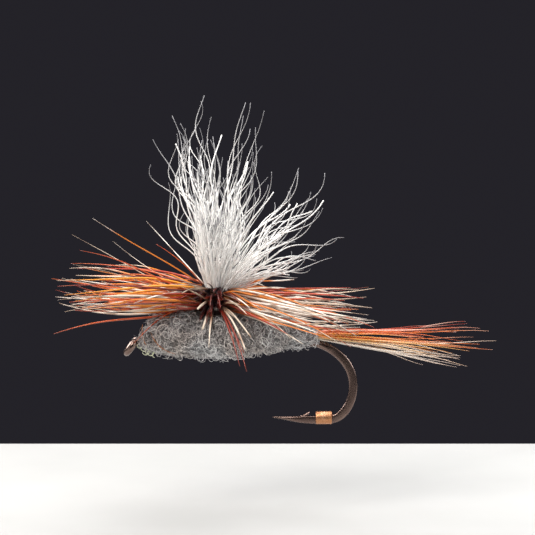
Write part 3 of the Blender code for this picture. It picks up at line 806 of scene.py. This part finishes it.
def make_wing_lock(node, index, material):
    seed = np.random.default_rng(LOCK_SEED + index)
    base, tip = lock_ends(node)
    count = HAIRS_PER_LOCK + STRAYS_PER_LOCK
    centre = np.array([post_x, 0.0, tie_off_top])
    out = unit((base - centre) * np.array([1.0, 1.0, 0.0]))
    angle = math.atan2(out[1], out[0]) + seed.normal(0.0, LOCK_ROOT_SPREAD, count)
    radius = neck_radius * LOCK_ROOT_FILL * np.sqrt(seed.uniform(0.15, 1.0, count))
    roots = centre + radius[:, None] * level_directions(angle)
    aim = tip - centre
    leaning = aim[0] > 0.5 * aim[2]
    if not leaning:
        aim = aim * np.array([LOCK_GATHER if aim[0] < 0 else 1.0, SIDE_GATHER, 1.0])
    fan = np.full(count, REAR_LOCK_FAN if leaning else LOCK_FAN)
    fan[HAIRS_PER_LOCK:] *= STRAY_FAN
    ragged = seed.uniform(size=HAIRS_PER_LOCK) ** (1.2 if leaning else 1.8)
    short = SHORTEST_HAIR + (1 - SHORTEST_HAIR) * ragged
    length = np.concatenate([short, seed.uniform(0.7, 1.0, STRAYS_PER_LOCK)])
    heading = tilted(np.tile(unit(aim), (count, 1)), fan, seed)
    jitter = seed.normal(0.0, LOCK_JITTER, (count, 3))
    tips = centre + heading * (np.linalg.norm(aim) * length)[:, None] + jitter
    tips[:, 2] = np.minimum(tips[:, 2], tip[2] + 0.2)
    paths, t = wavy_hairs(roots, tips, seed)
    across = perpendicular(unit(tips - roots), seed)[0]
    tones = seed.uniform(size=count)
    add_hair(node + "_hair", material, node, paths, hair_radii(tones, t, seed), tones, across)


def make_wing_post(material):
    """The bound part of the hair: a packed ring of strands, from the thread up to the flare."""
    seed = np.random.default_rng(POST_SEED)
    count = POST_STRANDS
    angle = 2 * np.pi * np.arange(count) / count
    low, high = tie_off_top - 0.4, post_high[2] + 0.7
    heights = low + (high - low) * shares(POST_ROWS)
    radius = neck_radius * POST_FILL + POST_FLARE * smoothstep(hackle_top - 0.1, high + 1.0, heights)
    across = level_directions(angle)
    paths = np.empty((count, POST_ROWS, 3))
    flutter = 1 + 0.03 * np.sin(angle * 7)[:, None] + seed.normal(0.0, 0.02, (count, 1))
    paths[:, :, 0] = post_x + across[:, :1] * radius * flutter
    paths[:, :, 1] = across[:, 1:2] * radius * flutter
    paths[:, :, 2] = heights
    radii = np.full((count, POST_ROWS), HAIR_RADIUS * POST_THICKENING)
    add_hair("wing_post_hair", material, "wing_post", paths, radii, seed.uniform(size=count), across)


def make_underfur(material):
    """Shorter hairs that fill the foot of the wing, between the post and the locks."""
    seed = np.random.default_rng(UNDERFUR_SEED)
    count = UNDERFUR_HAIRS
    angle = seed.uniform(-np.pi, np.pi, count)
    around = level_directions(angle)
    centre = np.array([post_x, 0.0, hackle_top - 0.3])
    inward = np.sqrt(seed.uniform(0.05, 1.0, count))[:, None]
    roots = centre + around * neck_radius * 0.95 * inward
    length = seed.uniform(*UNDERFUR_LENGTHS, count)[:, None]
    lean = np.tan(np.radians(seed.uniform(*UNDERFUR_LEANS, count)))[:, None] * inward
    tips = roots + (UP + around * lean + np.array([0.07, 0.0, 0.0])) * length
    paths, t = wavy_hairs(roots, tips, seed)
    across = perpendicular(unit(tips - roots), seed)[0]
    tones = seed.uniform(0.0, 1 - BLUNT_SHARE, count)
    radii = hair_radii(tones, t, seed)
    add_hair("wing_underfur", material, "wing_post", paths, radii, tones, across)


def make_butts(material):
    """The cut ends of the wing hair, laid back along the shank under the dubbing."""
    seed = np.random.default_rng(BUTT_SEED)
    low, high = box_mm("wing_butts")
    points = node_points("wing_butts")
    thick = points[points[:, 0] < low[0] + 0.5]
    count = BUTT_HAIRS
    spin = seed.uniform(-np.pi, np.pi, count)
    out = np.sqrt(seed.uniform(0.0, 1.0, count)) * 0.8
    half = (thick.max(axis=0) - thick.min(axis=0)) / 2
    middle = (thick.max(axis=0) + thick.min(axis=0)) / 2
    t = shares(BUTT_POINTS)
    narrow = 1 - 0.75 * t
    reach = seed.uniform(0.6, 1.0, count)
    paths = np.empty((count, len(t), 3))
    paths[:, :, 0] = low[0] + 0.05 + (high[0] - low[0] - 0.1) * reach[:, None] * t
    paths[:, :, 1] = middle[1] + (out * np.cos(spin) * half[1])[:, None] * narrow
    fall = (middle[2] - (low[2] + 0.05)) * 0.8 * reach[:, None] * t
    paths[:, :, 2] = middle[2] - fall + (out * np.sin(spin) * half[2])[:, None] * narrow
    radii = np.full((count, len(t)), HAIR_RADIUS)
    across = np.tile(ACROSS, (count, 1))
    add_hair("wing_butts_hair", material, "wing_butts", paths, radii, seed.uniform(size=count), across)


def make_wing(material):
    locks = sorted(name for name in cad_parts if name.startswith("wing_lock"))
    for index, node in enumerate(locks):
        make_wing_lock(node, index, material)
    make_wing_post(material)
    make_underfur(material)
    make_butts(material)


# ---- hackle


def barb_layout(node, seed):
    """Heading, slope, share of length, droop, level, bluntness and cling of a feather's barbs."""
    rows = []
    for count, heading, fan, slope, lift, length, ragged, droop in BARB_GROUPS[node]:
        group = [
            heading + np.clip(seed.normal(0.0, fan, count), -SIDE_LIMIT, SIDE_LIMIT),
            slope + lift * np.clip(seed.normal(size=count), -SLOPE_LIMIT, SLOPE_LIMIT),
            np.clip(length - ragged * np.abs(seed.normal(size=count)), SHORTEST_BARB, 1.0),
            droop * seed.uniform(0.4, 1.6, count),
            seed.uniform(0.0, 1.0, count),
            np.zeros(count),
            np.ones(count),
        ]
        rows.append(np.stack(group))
    lone = np.array(LONE_BARBS[node]).T
    rows.append(np.concatenate([lone, np.zeros((1, lone.shape[1]))]))
    return np.concatenate(rows, axis=1)


def gather_barbs(heading, length, tip_height, seed):
    """Barbs cling together in small groups: how far each tip shifts sideways and up."""
    count = len(heading)
    leaders = seed.choice(count, count // CLUMP_SIZE, replace=False)
    turn = (heading[:, None] - heading[leaders] + np.pi) % (2 * np.pi) - np.pi
    rise = tip_height[:, None] - tip_height[leaders]
    longer = length[:, None] - length[leaders]
    apart = (turn / CLUMP_TURN) ** 2 + (rise / CLUMP_RISE) ** 2 + (longer / CLUMP_LENGTH) ** 2
    picked = np.arange(count), np.argmin(apart, axis=1)
    aside = -np.tan(np.clip(turn[picked], -CLUMP_TURN_LIMIT, CLUMP_TURN_LIMIT)) * length * CLUMP_PULL
    up = -np.clip(rise[picked], -CLUMP_RISE_LIMIT, CLUMP_RISE_LIMIT) * CLUMP_PULL
    return aside, up


def barb_paths(layout, reach, seed):
    """Barbs from the quill outwards: each curves towards its clump and a little up or down."""
    heading, slope, share, droop, spot, blunt, clings = layout
    heading = np.radians(heading)
    length = share * reach
    count = len(heading)
    out = level_directions(heading)
    aside = np.cross(UP, out)
    t = shares(BARB_POINTS)
    root = neck_radius + QUILL_THICKNESS
    drift = (length - root)[:, None] * t
    paths = np.array([post_x, 0.0, 0.0]) + out[:, None, :] * (root + drift)[:, :, None]
    level = tie_off_top + 0.1 + spot * (HACKLE_STACK - 0.2)
    slope = slope + (spot - 0.5) * 0.04
    shift, lift = gather_barbs(heading, length, level + slope * length, seed)
    sweep = shift * clings + seed.normal(0.0, BARB_SIDE_DRIFT, count) * length
    paths = paths + aside[:, None, :] * (sweep[:, None] * t**1.7)[:, :, None]
    bow = seed.normal(0.0, BARB_BOW, count) * length
    twist = seed.normal(0.0, BARB_TWIST, count) * length
    fall = (droop * length)[:, None] * t**2.3
    paths[:, :, 2] += level[:, None] + slope[:, None] * drift + bow[:, None] * (t - t**2) - fall
    paths[:, :, 2] += (lift * clings)[:, None] * t**1.5 + twist[:, None] * np.sin(2 * np.pi * t)
    near = np.exp(-((signed_turn(np.degrees(heading) + 90) / NEAR_SWELL_ANGLE) ** 2))
    point = 1 - (0.8 - 0.55 * blunt)[:, None] * t ** (2.0 + 2.0 * blunt[:, None])
    taper = (0.8 + 0.2 * smoothstep(0.0, 0.18, t)) * point
    size = seed.uniform(*FIBRE_SIZES, (count, 1)) * (1 + (NEAR_BARB_SWELL - 1) * near[:, None])
    size = size * np.where(slope > STEEP, STEEP_THINNING, 1.0)[:, None]
    return paths, BARB_RADIUS * taper * size, aside


def make_hackle(node, order, material, quill, slot):
    """One feather: its quill wound round the post, and its barbs."""
    seed = np.random.default_rng(HACKLE_SEED + order)
    low, high = box_mm(node)
    layout = barb_layout(node, seed)
    paths, radii, aside = barb_paths(layout, (high[1] - low[1]) / 2, seed)
    tones = seed.uniform(size=len(radii))
    heading, slope, share = layout[:3]
    lone = layout[6] == 0
    near = np.abs(signed_turn(heading + 90)) < NEAR_HALF_ANGLE
    # Painted shade: near-side barbs darkened over the hub
    tones[near & ~lone] *= NEAR_PAINTED_SHADE
    tones[near & lone] = NEAR_BARB_TONES[order]
    if order == 0:
        tones[~near & lone] = LONE_BROWN_TONE
    low_rear = (np.cos(np.radians(heading)) > 0.5) & (slope < REAR_PALE_SLOPE) & ~lone
    low_rear &= tones < PALE_SHARE[order]
    tones[low_rear] = PALE_TONES[order] + 0.01 * tones[low_rear]
    # Painted shade: near-side barbs keep their near-black root further out
    pace = np.where(near, NEAR_PACE[order], 1.0)
    pace[near & ~lone & (share < STUB_SHARE)] = STUB_PACE
    pace *= np.clip(share / FULL_PACE_SHARE, 0.5, 1.0)
    add_fibres(node + "_barbs", material, slot, node, paths, radii, BARB_SIDES, tones, aside, pace)
    make_quill(node, order, quill, slot)


def make_quill(node, order, material, slot):
    """The feather's stem, wound round the post above the tie-off."""
    steps = QUILL_TURNS * QUILL_STEPS_PER_TURN
    angle = 2 * np.pi * np.linspace(0.0, QUILL_TURNS, steps)
    rise = shares(steps) + order * 0.5 / QUILL_TURNS
    height = tie_off_top + 0.08 + (HACKLE_STACK - 0.35) * rise
    radius = neck_radius + QUILL_THICKNESS * (1.0 + 0.5 * order)
    path = np.stack([post_x + radius * np.cos(angle), radius * np.sin(angle), height], axis=1)[None]
    radii = np.full((1, steps), QUILL_THICKNESS)
    tone = np.array([0.0])
    add_fibres(node + "_quill", material, slot, node, path, radii, QUILL_SIDES, tone, UP[None])


# ---- tail


def make_tail(material):
    """Each CAD tail barb becomes a few strands; the tail runs from red above to cream below."""
    nodes = sorted(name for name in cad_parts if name.startswith("tail_barb"))
    boxes = [box_mm(name) for name in nodes]
    exit_x = box_mm("dubbed_abdomen")[1][0]
    lowest = min(box[0][2] for box in boxes)
    highest = max(box[1][2] for box in boxes)
    for index, node in enumerate(nodes):
        seed = np.random.default_rng(TAIL_SEED + index)
        points = node_points(node)
        order = points[:, 0].argsort()
        start = points[order[:TAIL_END_POINTS]].mean(axis=0)
        tip = points[order[-TAIL_END_POINTS:]].mean(axis=0)
        from_exit = np.abs(points[:, 0] - exit_x - TAIL_EXIT).argsort()
        near_exit = points[from_exit[:TAIL_END_POINTS]].mean(axis=0)
        count = TAIL_STRANDS
        roots = start + seed.normal(size=(count, 3)) * np.array([0.0, 0.05, 0.03])
        leave = near_exit + seed.normal(size=(count, 3)) * np.array([0.0, 0.08, 0.05])
        leave[:, 2] += (tip[2] - leave[:, 2]) * 0.16
        share = np.concatenate([[1.0], seed.uniform(0.55, 0.98, count - 1)])[:, None]
        tips = leave + (tip - leave) * share + seed.normal(size=(count, 3)) * np.array([0.2, 0.22, 0.2])
        tips[:, 0] = np.minimum(tips[:, 0], tip[0] + 0.3)
        middle = leave + (tips - leave) * 0.55 + seed.normal(size=(count, 3)) * np.array([0.3, 0.15, 0.2])
        middle[:, 2] += 0.05 + (tips[:, 2] > 0.3) * 0.35
        t = shares(TAIL_POINTS)
        paths = bezier((roots, leave, middle, tips), t)
        paths[:, :, 2] += seed.normal(0.0, 0.28, count)[:, None] * smoothstep(0.6, 1.0, t) ** 1.5
        taper = (0.8 + 0.2 * smoothstep(0.0, 0.4, t)) * (1 - 0.82 * t**2.0)
        radii = TAIL_RADIUS * taper[None, :] * seed.uniform(*FIBRE_SIZES, (count, 1))
        across = np.tile(ACROSS, (count, 1))
        height = (tips[:, 2] - lowest) / (highest - lowest)
        tones = np.clip(height + seed.normal(0.0, 0.15, count), 0.0, 1.0)
        slot = "brown_feather" if "brown" in node else "grizzly_feather"
        add_fibres(node + "_strands", material, slot, node, paths, radii, BARB_SIDES, tones, across)


# ---- body


def body_stations(*nodes):
    """Places along the dubbed body with its centre height and radius there."""
    boxes = [box_mm(node) for node in nodes]
    low = np.min([box[0] for box in boxes], axis=0)
    high = np.max([box[1] for box in boxes], axis=0)
    place, bottom, top = np.array(FUR_OUTLINE).T
    tall = high[2] - low[2]
    return (
        low[0] + place * (high[0] - low[0]),
        low[2] + tall * (top + bottom) / 2,
        tall * (top - bottom) / 2,
    )


def body_point(x, angle, proud, station):
    """A point proud of the dubbed body at these angles round it, with its outward direction."""
    xs, centres, sizes = station
    normal = np.stack([np.zeros_like(angle), np.cos(angle), np.sin(angle)], axis=-1)
    axis = np.stack([x, np.zeros_like(x), np.interp(x, xs, centres)], axis=-1)
    return axis + normal * (np.interp(x, xs, sizes) + proud)[..., None], normal


def curly_fibres(span, count, seed, station):
    """Loose fibres: arcs and loops that lie on the body or stand a little proud of it."""
    x = seed.uniform(span[0], span[1], count)
    angle = seed.uniform(-np.pi, np.pi, count)
    share = seed.uniform(size=count) ** 1.7
    proud = FUR_REACH * share - FUR_SINK
    around = np.stack([np.zeros(count), -np.sin(angle), np.cos(angle)], axis=1)
    length = np.tile(np.array([1.0, 0.0, 0.0]), (count, 1))
    curl = seed.uniform(*FUR_CURL, count)
    wild = seed.uniform(size=count) < FUR_WILD_SHARE
    proud = proud + wild * FUR_WILD_LIFT
    centre, normal = body_point(x, angle, proud, station)
    twist = seed.normal(0.0, 0.9, count)
    first = unit(around * np.cos(twist)[:, None] + length * np.sin(twist)[:, None])
    standing = np.abs(seed.normal(0.0, 0.55, count)) + wild * 0.7
    upright, flat = np.sin(standing)[:, None], np.cos(standing)[:, None]
    second = unit(normal * upright + np.cross(normal, first) * flat)
    t = shares(FUR_POINTS)
    sweep = seed.uniform(*FUR_SWEEP, count)[:, None] * t + seed.uniform(0, 2 * np.pi, count)[:, None]
    run = seed.normal(0.0, 0.45, count)[:, None] * (t - 0.5)
    paths = centre[:, None, :] + (curl[:, None] * np.cos(sweep) + run)[:, :, None] * first[:, None, :]
    paths = paths + (curl[:, None] * np.sin(sweep))[:, :, None] * second[:, None, :]
    # Painted light and shade: fibres standing further out are paler, those sunk in the fur darker, and the
    # underside is lighter than the top
    tones = 0.16 + 0.8 * share + seed.normal(0.0, 0.16, count) - FUR_UNDERSIDE_PAINTED_LIGHT * np.sin(angle)
    tones = np.clip(tones, 0.0, 1.0)
    return paths, np.cross(first, second), tones


def wound_fibres(span, count, seed, station):
    """Fibres bound in by the twist of the dubbing: they run round the body with a slight pitch."""
    t = shares(FUR_POINTS)
    angle = seed.uniform(-np.pi, np.pi, count)[:, None] + seed.uniform(0.4, 1.6, count)[:, None] * (t - 0.5)
    x = seed.uniform(span[0], span[1], count)[:, None] + seed.normal(0.0, 0.45, count)[:, None] * (t - 0.5)
    x = x + 0.05 * np.sin(seed.uniform(3, 9, count)[:, None] * t + seed.uniform(0, 6.3, count)[:, None])
    proud = seed.uniform(-0.12, 0.08, count)[:, None]
    proud = proud + seed.uniform(0.0, 0.2, count)[:, None] * (2 * t - 1) ** 4
    paths, _ = body_point(x, angle, proud, station)
    tones = np.clip(seed.normal(0.36, 0.26, count), 0.0, 1.0)
    return paths, np.tile(np.array([1.0, 0.0, 0.0]), (count, 1)), tones


def add_fur(name, node, span, seed_number, station, material):
    """One piece of dubbing fur, part wound and part loose, kept clear of the hackle's hub."""
    seed = np.random.default_rng(seed_number)
    wound = int(FUR_PER_PIECE * FUR_WOUND_SHARE)
    groups = (
        wound_fibres(span, wound, seed, station),
        curly_fibres(span, FUR_PER_PIECE - wound, seed, station),
    )
    paths, across, tones = [np.concatenate(part) for part in zip(*groups)]
    size = np.where(np.arange(FUR_PER_PIECE) < wound, WOUND_FUR_RADIUS, LOOSE_FUR_RADIUS)
    from_post = np.hypot(paths[:, :, 0] - post_x, paths[:, :, 1])
    clear = ~((from_post < HUB_CLEARANCE) & (paths[:, :, 2] > tie_off_top - 0.5)).any(axis=1)
    eye_side = paths[:, :, 0].min(axis=1) < box_mm("whip_finish_head")[0][0]
    clear &= ~eye_side | (seed.uniform(size=FUR_PER_PIECE) < FUR_EYE_SIDE_SHARE)
    t = shares(FUR_POINTS)
    taper = 1 - 0.5 * np.abs(2 * t - 1) ** 3
    radii = size[:, None] * taper * seed.uniform(*FIBRE_SIZES, (FUR_PER_PIECE, 1))
    fibres = paths[clear], radii[clear], FUR_SIDES, tones[clear], across[clear]
    add_fibres(name, material, "grey_dubbing", node, *fibres)


def core_mesh(name, span, station):
    """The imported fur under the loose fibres."""
    xs, centres, sizes = station
    along = np.linspace(span[0], span[1], CORE_ROWS)
    angle = 2 * np.pi * np.arange(CORE_COLUMNS) / CORE_COLUMNS
    size = np.interp(along, xs, sizes) - CORE_DEPTH
    height = np.interp(along, xs, centres)
    lump = 0.03 * np.sin(angle * 5 + along[:, None] * 2.1) + 0.02 * np.sin(angle * 9 - along[:, None] * 5.3)
    radius = size[:, None] + lump
    length = np.broadcast_to(along[:, None], radius.shape)
    rings = [length, radius * np.cos(angle), height[:, None] + radius * np.sin(angle)]
    return ringed_mesh(name, np.stack(rings, axis=-1))


def make_body(fur, core):
    station = body_stations("dubbed_thorax", "dubbed_abdomen")
    for node, first_seed in FUR_SEEDS.items():
        low, high = box_mm(node)
        mesh = core_mesh(node + "_core", (low[0], high[0]), station)
        add_piece(node + "_core", mesh, core, "grey_dubbing", node)
        loose = (low[0] - 0.6, high[0]) if node == "dubbed_thorax" else (low[0], high[0] + 0.3)
        for number in range(1, FUR_PIECES + 1):
            add_fur(f"{node}_fur_{number}", node, loose, first_seed + number, station, fur)


def body_strays(material):
    """Loose feather fibres caught in the thorax: an orange arc, a cream loop and pale green curls."""
    seed = np.random.default_rng(STRAY_SEED)
    station = body_stations("dubbed_thorax", "dubbed_abdomen")
    low, high = box_mm("dubbed_thorax")
    t = shares(STRAY_POINTS)
    paths = []
    for across_x, up, size, start, sweep, _ in STRAY_LOOPS:
        x = low[0] + (high[0] - low[0]) * across_x + size * np.cos(start + sweep * t)
        height = low[2] + (high[2] - low[2]) * up + size * np.sin(start + sweep * t)
        centre = np.interp(x, station[0], station[1])
        radius = np.interp(x, station[0], station[2]) + STRAY_STANDOFF + 0.04 * seed.normal()
        rise = np.clip((height - centre) / radius, -0.95, 0.95)
        paths.append(np.stack([x, -radius * np.sqrt(1 - rise**2), height], axis=1))
    paths = np.array(paths)
    count = len(paths)
    radii = np.full((count, len(t)), STRAY_RADIUS) * (1 - 0.6 * np.abs(2 * t - 1) ** 3)
    across = np.tile(np.array([0.3, 0.9, 0.1]), (count, 1))
    tones = np.array([loop[-1] for loop in STRAY_LOOPS])
    fibres = paths, radii, HAIR_SIDES, tones, across
    add_fibres("dubbed_thorax_strays", material, "grey_dubbing", "dubbed_thorax", *fibres)


# ---- thread


def wound_thread(node, axis, material):
    """Tying thread wound side by side over the space that a CAD sleeve holds."""
    low, high = box_mm(node)
    half = (high - low) / 2
    middle = (high + low) / 2
    first, second = [index for index in range(3) if index != axis]
    turns = max(2, round(half[axis] / THREAD_RADIUS))
    steps = turns * THREAD_STEPS_PER_TURN
    share = shares(steps)
    angle = 2 * np.pi * turns * share
    path = np.empty((1, steps, 3))
    path[0, :, axis] = low[axis] + THREAD_RADIUS + (2 * half[axis] - 2 * THREAD_RADIUS) * share
    path[0, :, first] = middle[first] + (half[first] - THREAD_RADIUS) * np.cos(angle)
    path[0, :, second] = middle[second] + (half[second] - THREAD_RADIUS) * np.sin(angle)
    radii = np.full((1, steps), THREAD_RADIUS * THREAD_OVERLAP)
    across = np.zeros((1, 3))
    across[0, axis] = 1.0
    fibres = path, radii, THREAD_SIDES, np.array([0.5]), across
    add_fibres(node + "_thread", material, "dark_thread", node, *fibres)


def make_thread(material):
    for node in ("thread_base", "tail_tie_in_wraps", "wing_butt_wraps", "whip_finish_head"):
        wound_thread(node, 0, material)
    for node in ("post_wraps", "hackle_tie_off_wraps"):
        wound_thread(node, 2, material)


# ---- metal


def wire_layers(ring):
    """The rings of vertices met in turn on the way along the wire from this one."""
    seen = set(ring)
    layers = []
    while ring:
        layers.append(ring)
        after = {edge.other_vert(vert) for vert in ring for edge in vert.link_edges} - seen
        seen |= after
        ring = list(after)
    return layers


def eye_rows():
    """Centre and size of the wire at each CAD ring, from the front of the shank round the eye."""
    work = bmesh.new()
    work.from_mesh(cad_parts["hook"].data)
    bmesh.ops.remove_doubles(work, verts=work.verts, dist=1e-7)
    low = [vert for vert in work.verts if vert.co.z < SPEAR_TOP * MM]
    point_x = min(vert.co.x for vert in low)
    first = [vert for vert in low if vert.co.x < point_x + 0.1 * MM]
    last = wire_layers(first)[-1]
    rows = []
    for ring in wire_layers(last):
        spots = np.array([vert.co for vert in ring]) / MM
        centre = spots.mean(axis=0)
        if centre[0] > SHANK_FRONT:
            break
        size = np.linalg.norm(spots - centre, axis=1).mean() * EYE_SWELL
        rows.append([*centre, size, size])
    work.free()
    return rows[::-1]


def wire_row(tree, start, end):
    """Centre, half width and half thickness of the wire between two points on either side of it."""
    start, end = Vector(start), Vector(end)
    near = tree.ray_cast(start, end - start)[0]
    far = tree.ray_cast(end, start - end)[0]
    middle = (near + far) / 2
    face = tree.ray_cast(middle - Vector((0.0, 9.0, 0.0)), Vector((0.0, 1.0, 0.0)))[0]
    return [middle.x, 0.0, middle.z, (far - near).length / 2, -face.y]


def hook_track():
    """Centre and size of the wire from the point, round the bend and along the shank to the eye."""
    points = node_points("hook")
    faces = [tuple(face.vertices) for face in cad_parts["hook"].data.polygons]
    tree = BVHTree.FromPolygons(points.tolist(), faces)
    low, high = box_mm("hook")
    middle = (low[2] + high[2]) / 2
    spear = points[points[:, 2] < SPEAR_TOP]
    tip = spear[spear[:, 0] < spear[:, 0].min() + 0.1]
    rows = [[*tip.mean(axis=0), np.ptp(tip[:, 2]) / 2, np.ptp(tip[:, 2]) / 2]]
    for along in SPEAR_STATIONS:
        x = tip[0, 0] + along
        rows.append(wire_row(tree, (x, 0.0, low[2] - 1.0), (x, 0.0, middle)))
    hub = np.array([high[0] - BEND_REACH, 0.0, middle])
    bend = []
    for angle in np.radians(np.linspace(-BEND_TURN, BEND_TURN, BEND_STATIONS)):
        out = np.array([math.cos(angle), 0.0, math.sin(angle)])
        bend.append([*wire_row(tree, hub + out, hub + out * 5.0), *out])
    bend = np.array(bend)
    ahead = unit(np.gradient(bend[:, :3], axis=0))
    bend[:, 3] *= np.linalg.norm(np.cross(ahead, bend[:, 5:]), axis=1)
    rows.extend(bend[:, :5].tolist())
    for x in np.linspace(high[0] - SHANK_BACK, SHANK_FRONT + 0.4, SHANK_STATIONS):
        rows.append(wire_row(tree, (x, 0.0, middle), (x, 0.0, high[2] + 1.0)))
    return np.array(rows + eye_rows())


def smooth_track(points, steps):
    """A curve through the points, paced by their spacing, with so many steps to each gap."""
    gaps = np.linalg.norm(np.diff(points[:, :3], axis=0), axis=1)[:, None]
    slopes = np.diff(points, axis=0) / gaps
    inner = (slopes[1:] * gaps[:-1] + slopes[:-1] * gaps[1:]) / (gaps[1:] + gaps[:-1])
    tangents = np.concatenate([slopes[:1], inner, slopes[-1:]])
    t = np.linspace(0.0, 1.0, steps, endpoint=False)[None, :, None]
    leave = tangents[:-1, None] * gaps[:, None]
    arrive = tangents[1:, None] * gaps[:, None]
    track = points[:-1, None] * (2 * t**3 - 3 * t**2 + 1) + leave * (t**3 - 2 * t**2 + t)
    track = track + points[1:, None] * (3 * t**2 - 2 * t**3) + arrive * (t**3 - t**2)
    return np.concatenate([track.reshape(-1, points.shape[1]), points[-1:]])


def carried_sides(centres):
    """Directions across the wire, starting along Y and carried along it without twist."""
    ahead = unit(np.gradient(centres, axis=0))
    side = ACROSS
    sides = []
    for direction in ahead:
        side = unit(side - direction * side.dot(direction))
        sides.append(side)
    return np.array(sides), np.cross(sides, ahead)


def swept_wire(name, track):
    """A wire along x, y, z with a half width and half thickness: pressed flat where it is thin."""
    centres, wide, thick = track[:, :3], track[:, 3], track[:, 4]
    sides, lifts = carried_sides(centres)
    flat = np.clip((1 - thick / wide) / 0.2, 0.0, 1.0)
    power = (2 / (2 + FORGED_SQUARENESS * flat))[:, None]
    turn = 2 * np.pi * np.arange(WIRE_SIDES) / WIRE_SIDES
    across = thick[:, None] * np.sign(np.sin(turn)) * np.abs(np.sin(turn)) ** power
    over = wide[:, None] * np.sign(np.cos(turn)) * np.abs(np.cos(turn)) ** power
    rings = centres[:, None] + sides[:, None] * across[..., None] + lifts[:, None] * over[..., None]
    return ringed_mesh(name, rings)


def make_hook(material):
    """The wire swept finely along the CAD hook, and the barb cut up from its spear."""
    mesh = swept_wire("hook_wire", smooth_track(hook_track(), WIRE_STEPS))
    add_piece("hook_wire", mesh, material, "bronze_wire", "hook")
    points = node_points("hook")
    band_front = box_mm("copper_band")[0][0]
    raised = (points[:, 2] > BARB_FOOT) & (points[:, 2] < SPEAR_TOP)
    tip = points[raised & (points[:, 0] < band_front)].mean(axis=0)
    root = tip - np.array([BARB_LENGTH, 0.0, BARB_RISE])
    middle = (root + tip) / 2 - UP * BARB_SAG
    rows = np.array([[*place, *size] for place, size in zip((root, middle, tip), BARB_SIZES)])
    mesh = swept_wire("hook_barb", smooth_track(rows, WIRE_STEPS))
    add_piece("hook_barb", mesh, material, "bronze_wire", "hook")


def make_copper_sleeve(material):
    """A round sleeve with eased edges, over the space of the CAD band."""
    low, high = box_mm("copper_band")
    outer = (high[1] - low[1]) / 2
    middle = (high[2] + low[2]) / 2
    edge = np.array(SLEEVE_ROUNDING) * SLEEVE_EDGE
    front = [(low[0] + inset, outer - drop) for inset, drop in edge]
    back = [(high[0] - inset, outer - drop) for inset, drop in edge[::-1]]
    profile = np.array([(low[0], SLEEVE_BORE), *front, *back, (high[0], SLEEVE_BORE)])
    turn = 2 * np.pi * np.arange(SLEEVE_COLUMNS) / SLEEVE_COLUMNS
    rings = np.empty((len(profile), SLEEVE_COLUMNS, 3))
    rings[:, :, 0] = profile[:, :1]
    rings[:, :, 1] = profile[:, 1:] * np.cos(turn)
    rings[:, :, 2] = middle + profile[:, 1:] * np.sin(turn)
    mesh = ringed_mesh("copper_sleeve", rings, closed=True)
    work = bmesh.new()
    work.from_mesh(mesh)
    bmesh.ops.recalc_face_normals(work, faces=work.faces)
    work.to_mesh(mesh)
    work.free()
    add_piece("copper_sleeve", mesh, material, "copper", "copper_band")


# ---- stage


def add_light(name, place, size, power, colour):
    lamp = bpy.data.lights.new(name, "AREA")
    lamp.size = size * MM
    lamp.energy = power
    lamp.color = colour
    light = bpy.data.objects.new(name, lamp)
    light.location = Vector(place) * MM
    light.rotation_euler = (Vector(place) - Vector(AIM)).to_track_quat("Z", "Y").to_euler()
    light.visible_camera = False
    bpy.context.scene.collection.objects.link(light)


def make_stage():
    height = box_mm("hook")[0][2] - FLOOR_DROP
    middle = np.array([VIEW_CENTRE[0], -FLOOR_NEARER, height])
    half = np.array([FLOOR_WIDTH / 2, FLOOR_DEPTH / 2, 0.0])
    corners = [middle + half * (*side, 0.0) for side in ((-1, -1), (1, -1), (1, 1), (-1, 1))]
    mesh = bpy.data.meshes.new("floor")
    mesh.from_pydata((np.array(corners) * MM).tolist(), [], [(0, 1, 2, 3)])
    mesh.materials.append(floor_material())
    floor = bpy.data.objects.new("floor", mesh)
    bpy.context.scene.collection.objects.link(floor)
    world = bpy.data.worlds.new("studio")
    world.use_nodes = True
    world.node_tree.nodes["Background"].inputs["Color"].default_value = WORLD_COLOUR
    bpy.context.scene.world = world
    bpy.context.scene.view_settings.view_transform = "Standard"
    for light in LIGHTS:
        add_light(*light)


def make_camera():
    distance = VIEW_WIDTH * LENS / SENSOR
    tilt = math.radians(VIEW_ELEVATION)
    aim = Vector((VIEW_CENTRE[0], 0.0, VIEW_CENTRE[1] / math.cos(tilt)))
    place = aim + Vector((0.0, -math.cos(tilt), math.sin(tilt))) * distance
    data = bpy.data.cameras.new("camera")
    data.lens = LENS
    data.sensor_width = SENSOR
    data.clip_start, data.clip_end = CLIP
    camera = bpy.data.objects.new("camera", data)
    camera.location = place * MM
    camera.rotation_euler = (place - aim).to_track_quat("Z", "Y").to_euler()
    bpy.context.scene.collection.objects.link(camera)
    bpy.context.scene.camera = camera


def main():
    make_camera()
    make_stage()
    make_hook(bronze_material())
    make_copper_sleeve(copper_material())
    make_thread(thread_material())
    make_body(fur_material(), fur_core_material())
    body_strays(stray_material())
    make_wing(white_hair_material())
    quill = quill_material()
    make_hackle("brown_hackle", 0, brown_barb_material(), quill, "brown_feather")
    make_hackle("grizzly_hackle", 1, grizzly_barb_material(), quill, "grizzly_feather")
    make_tail(tail_material())


main()
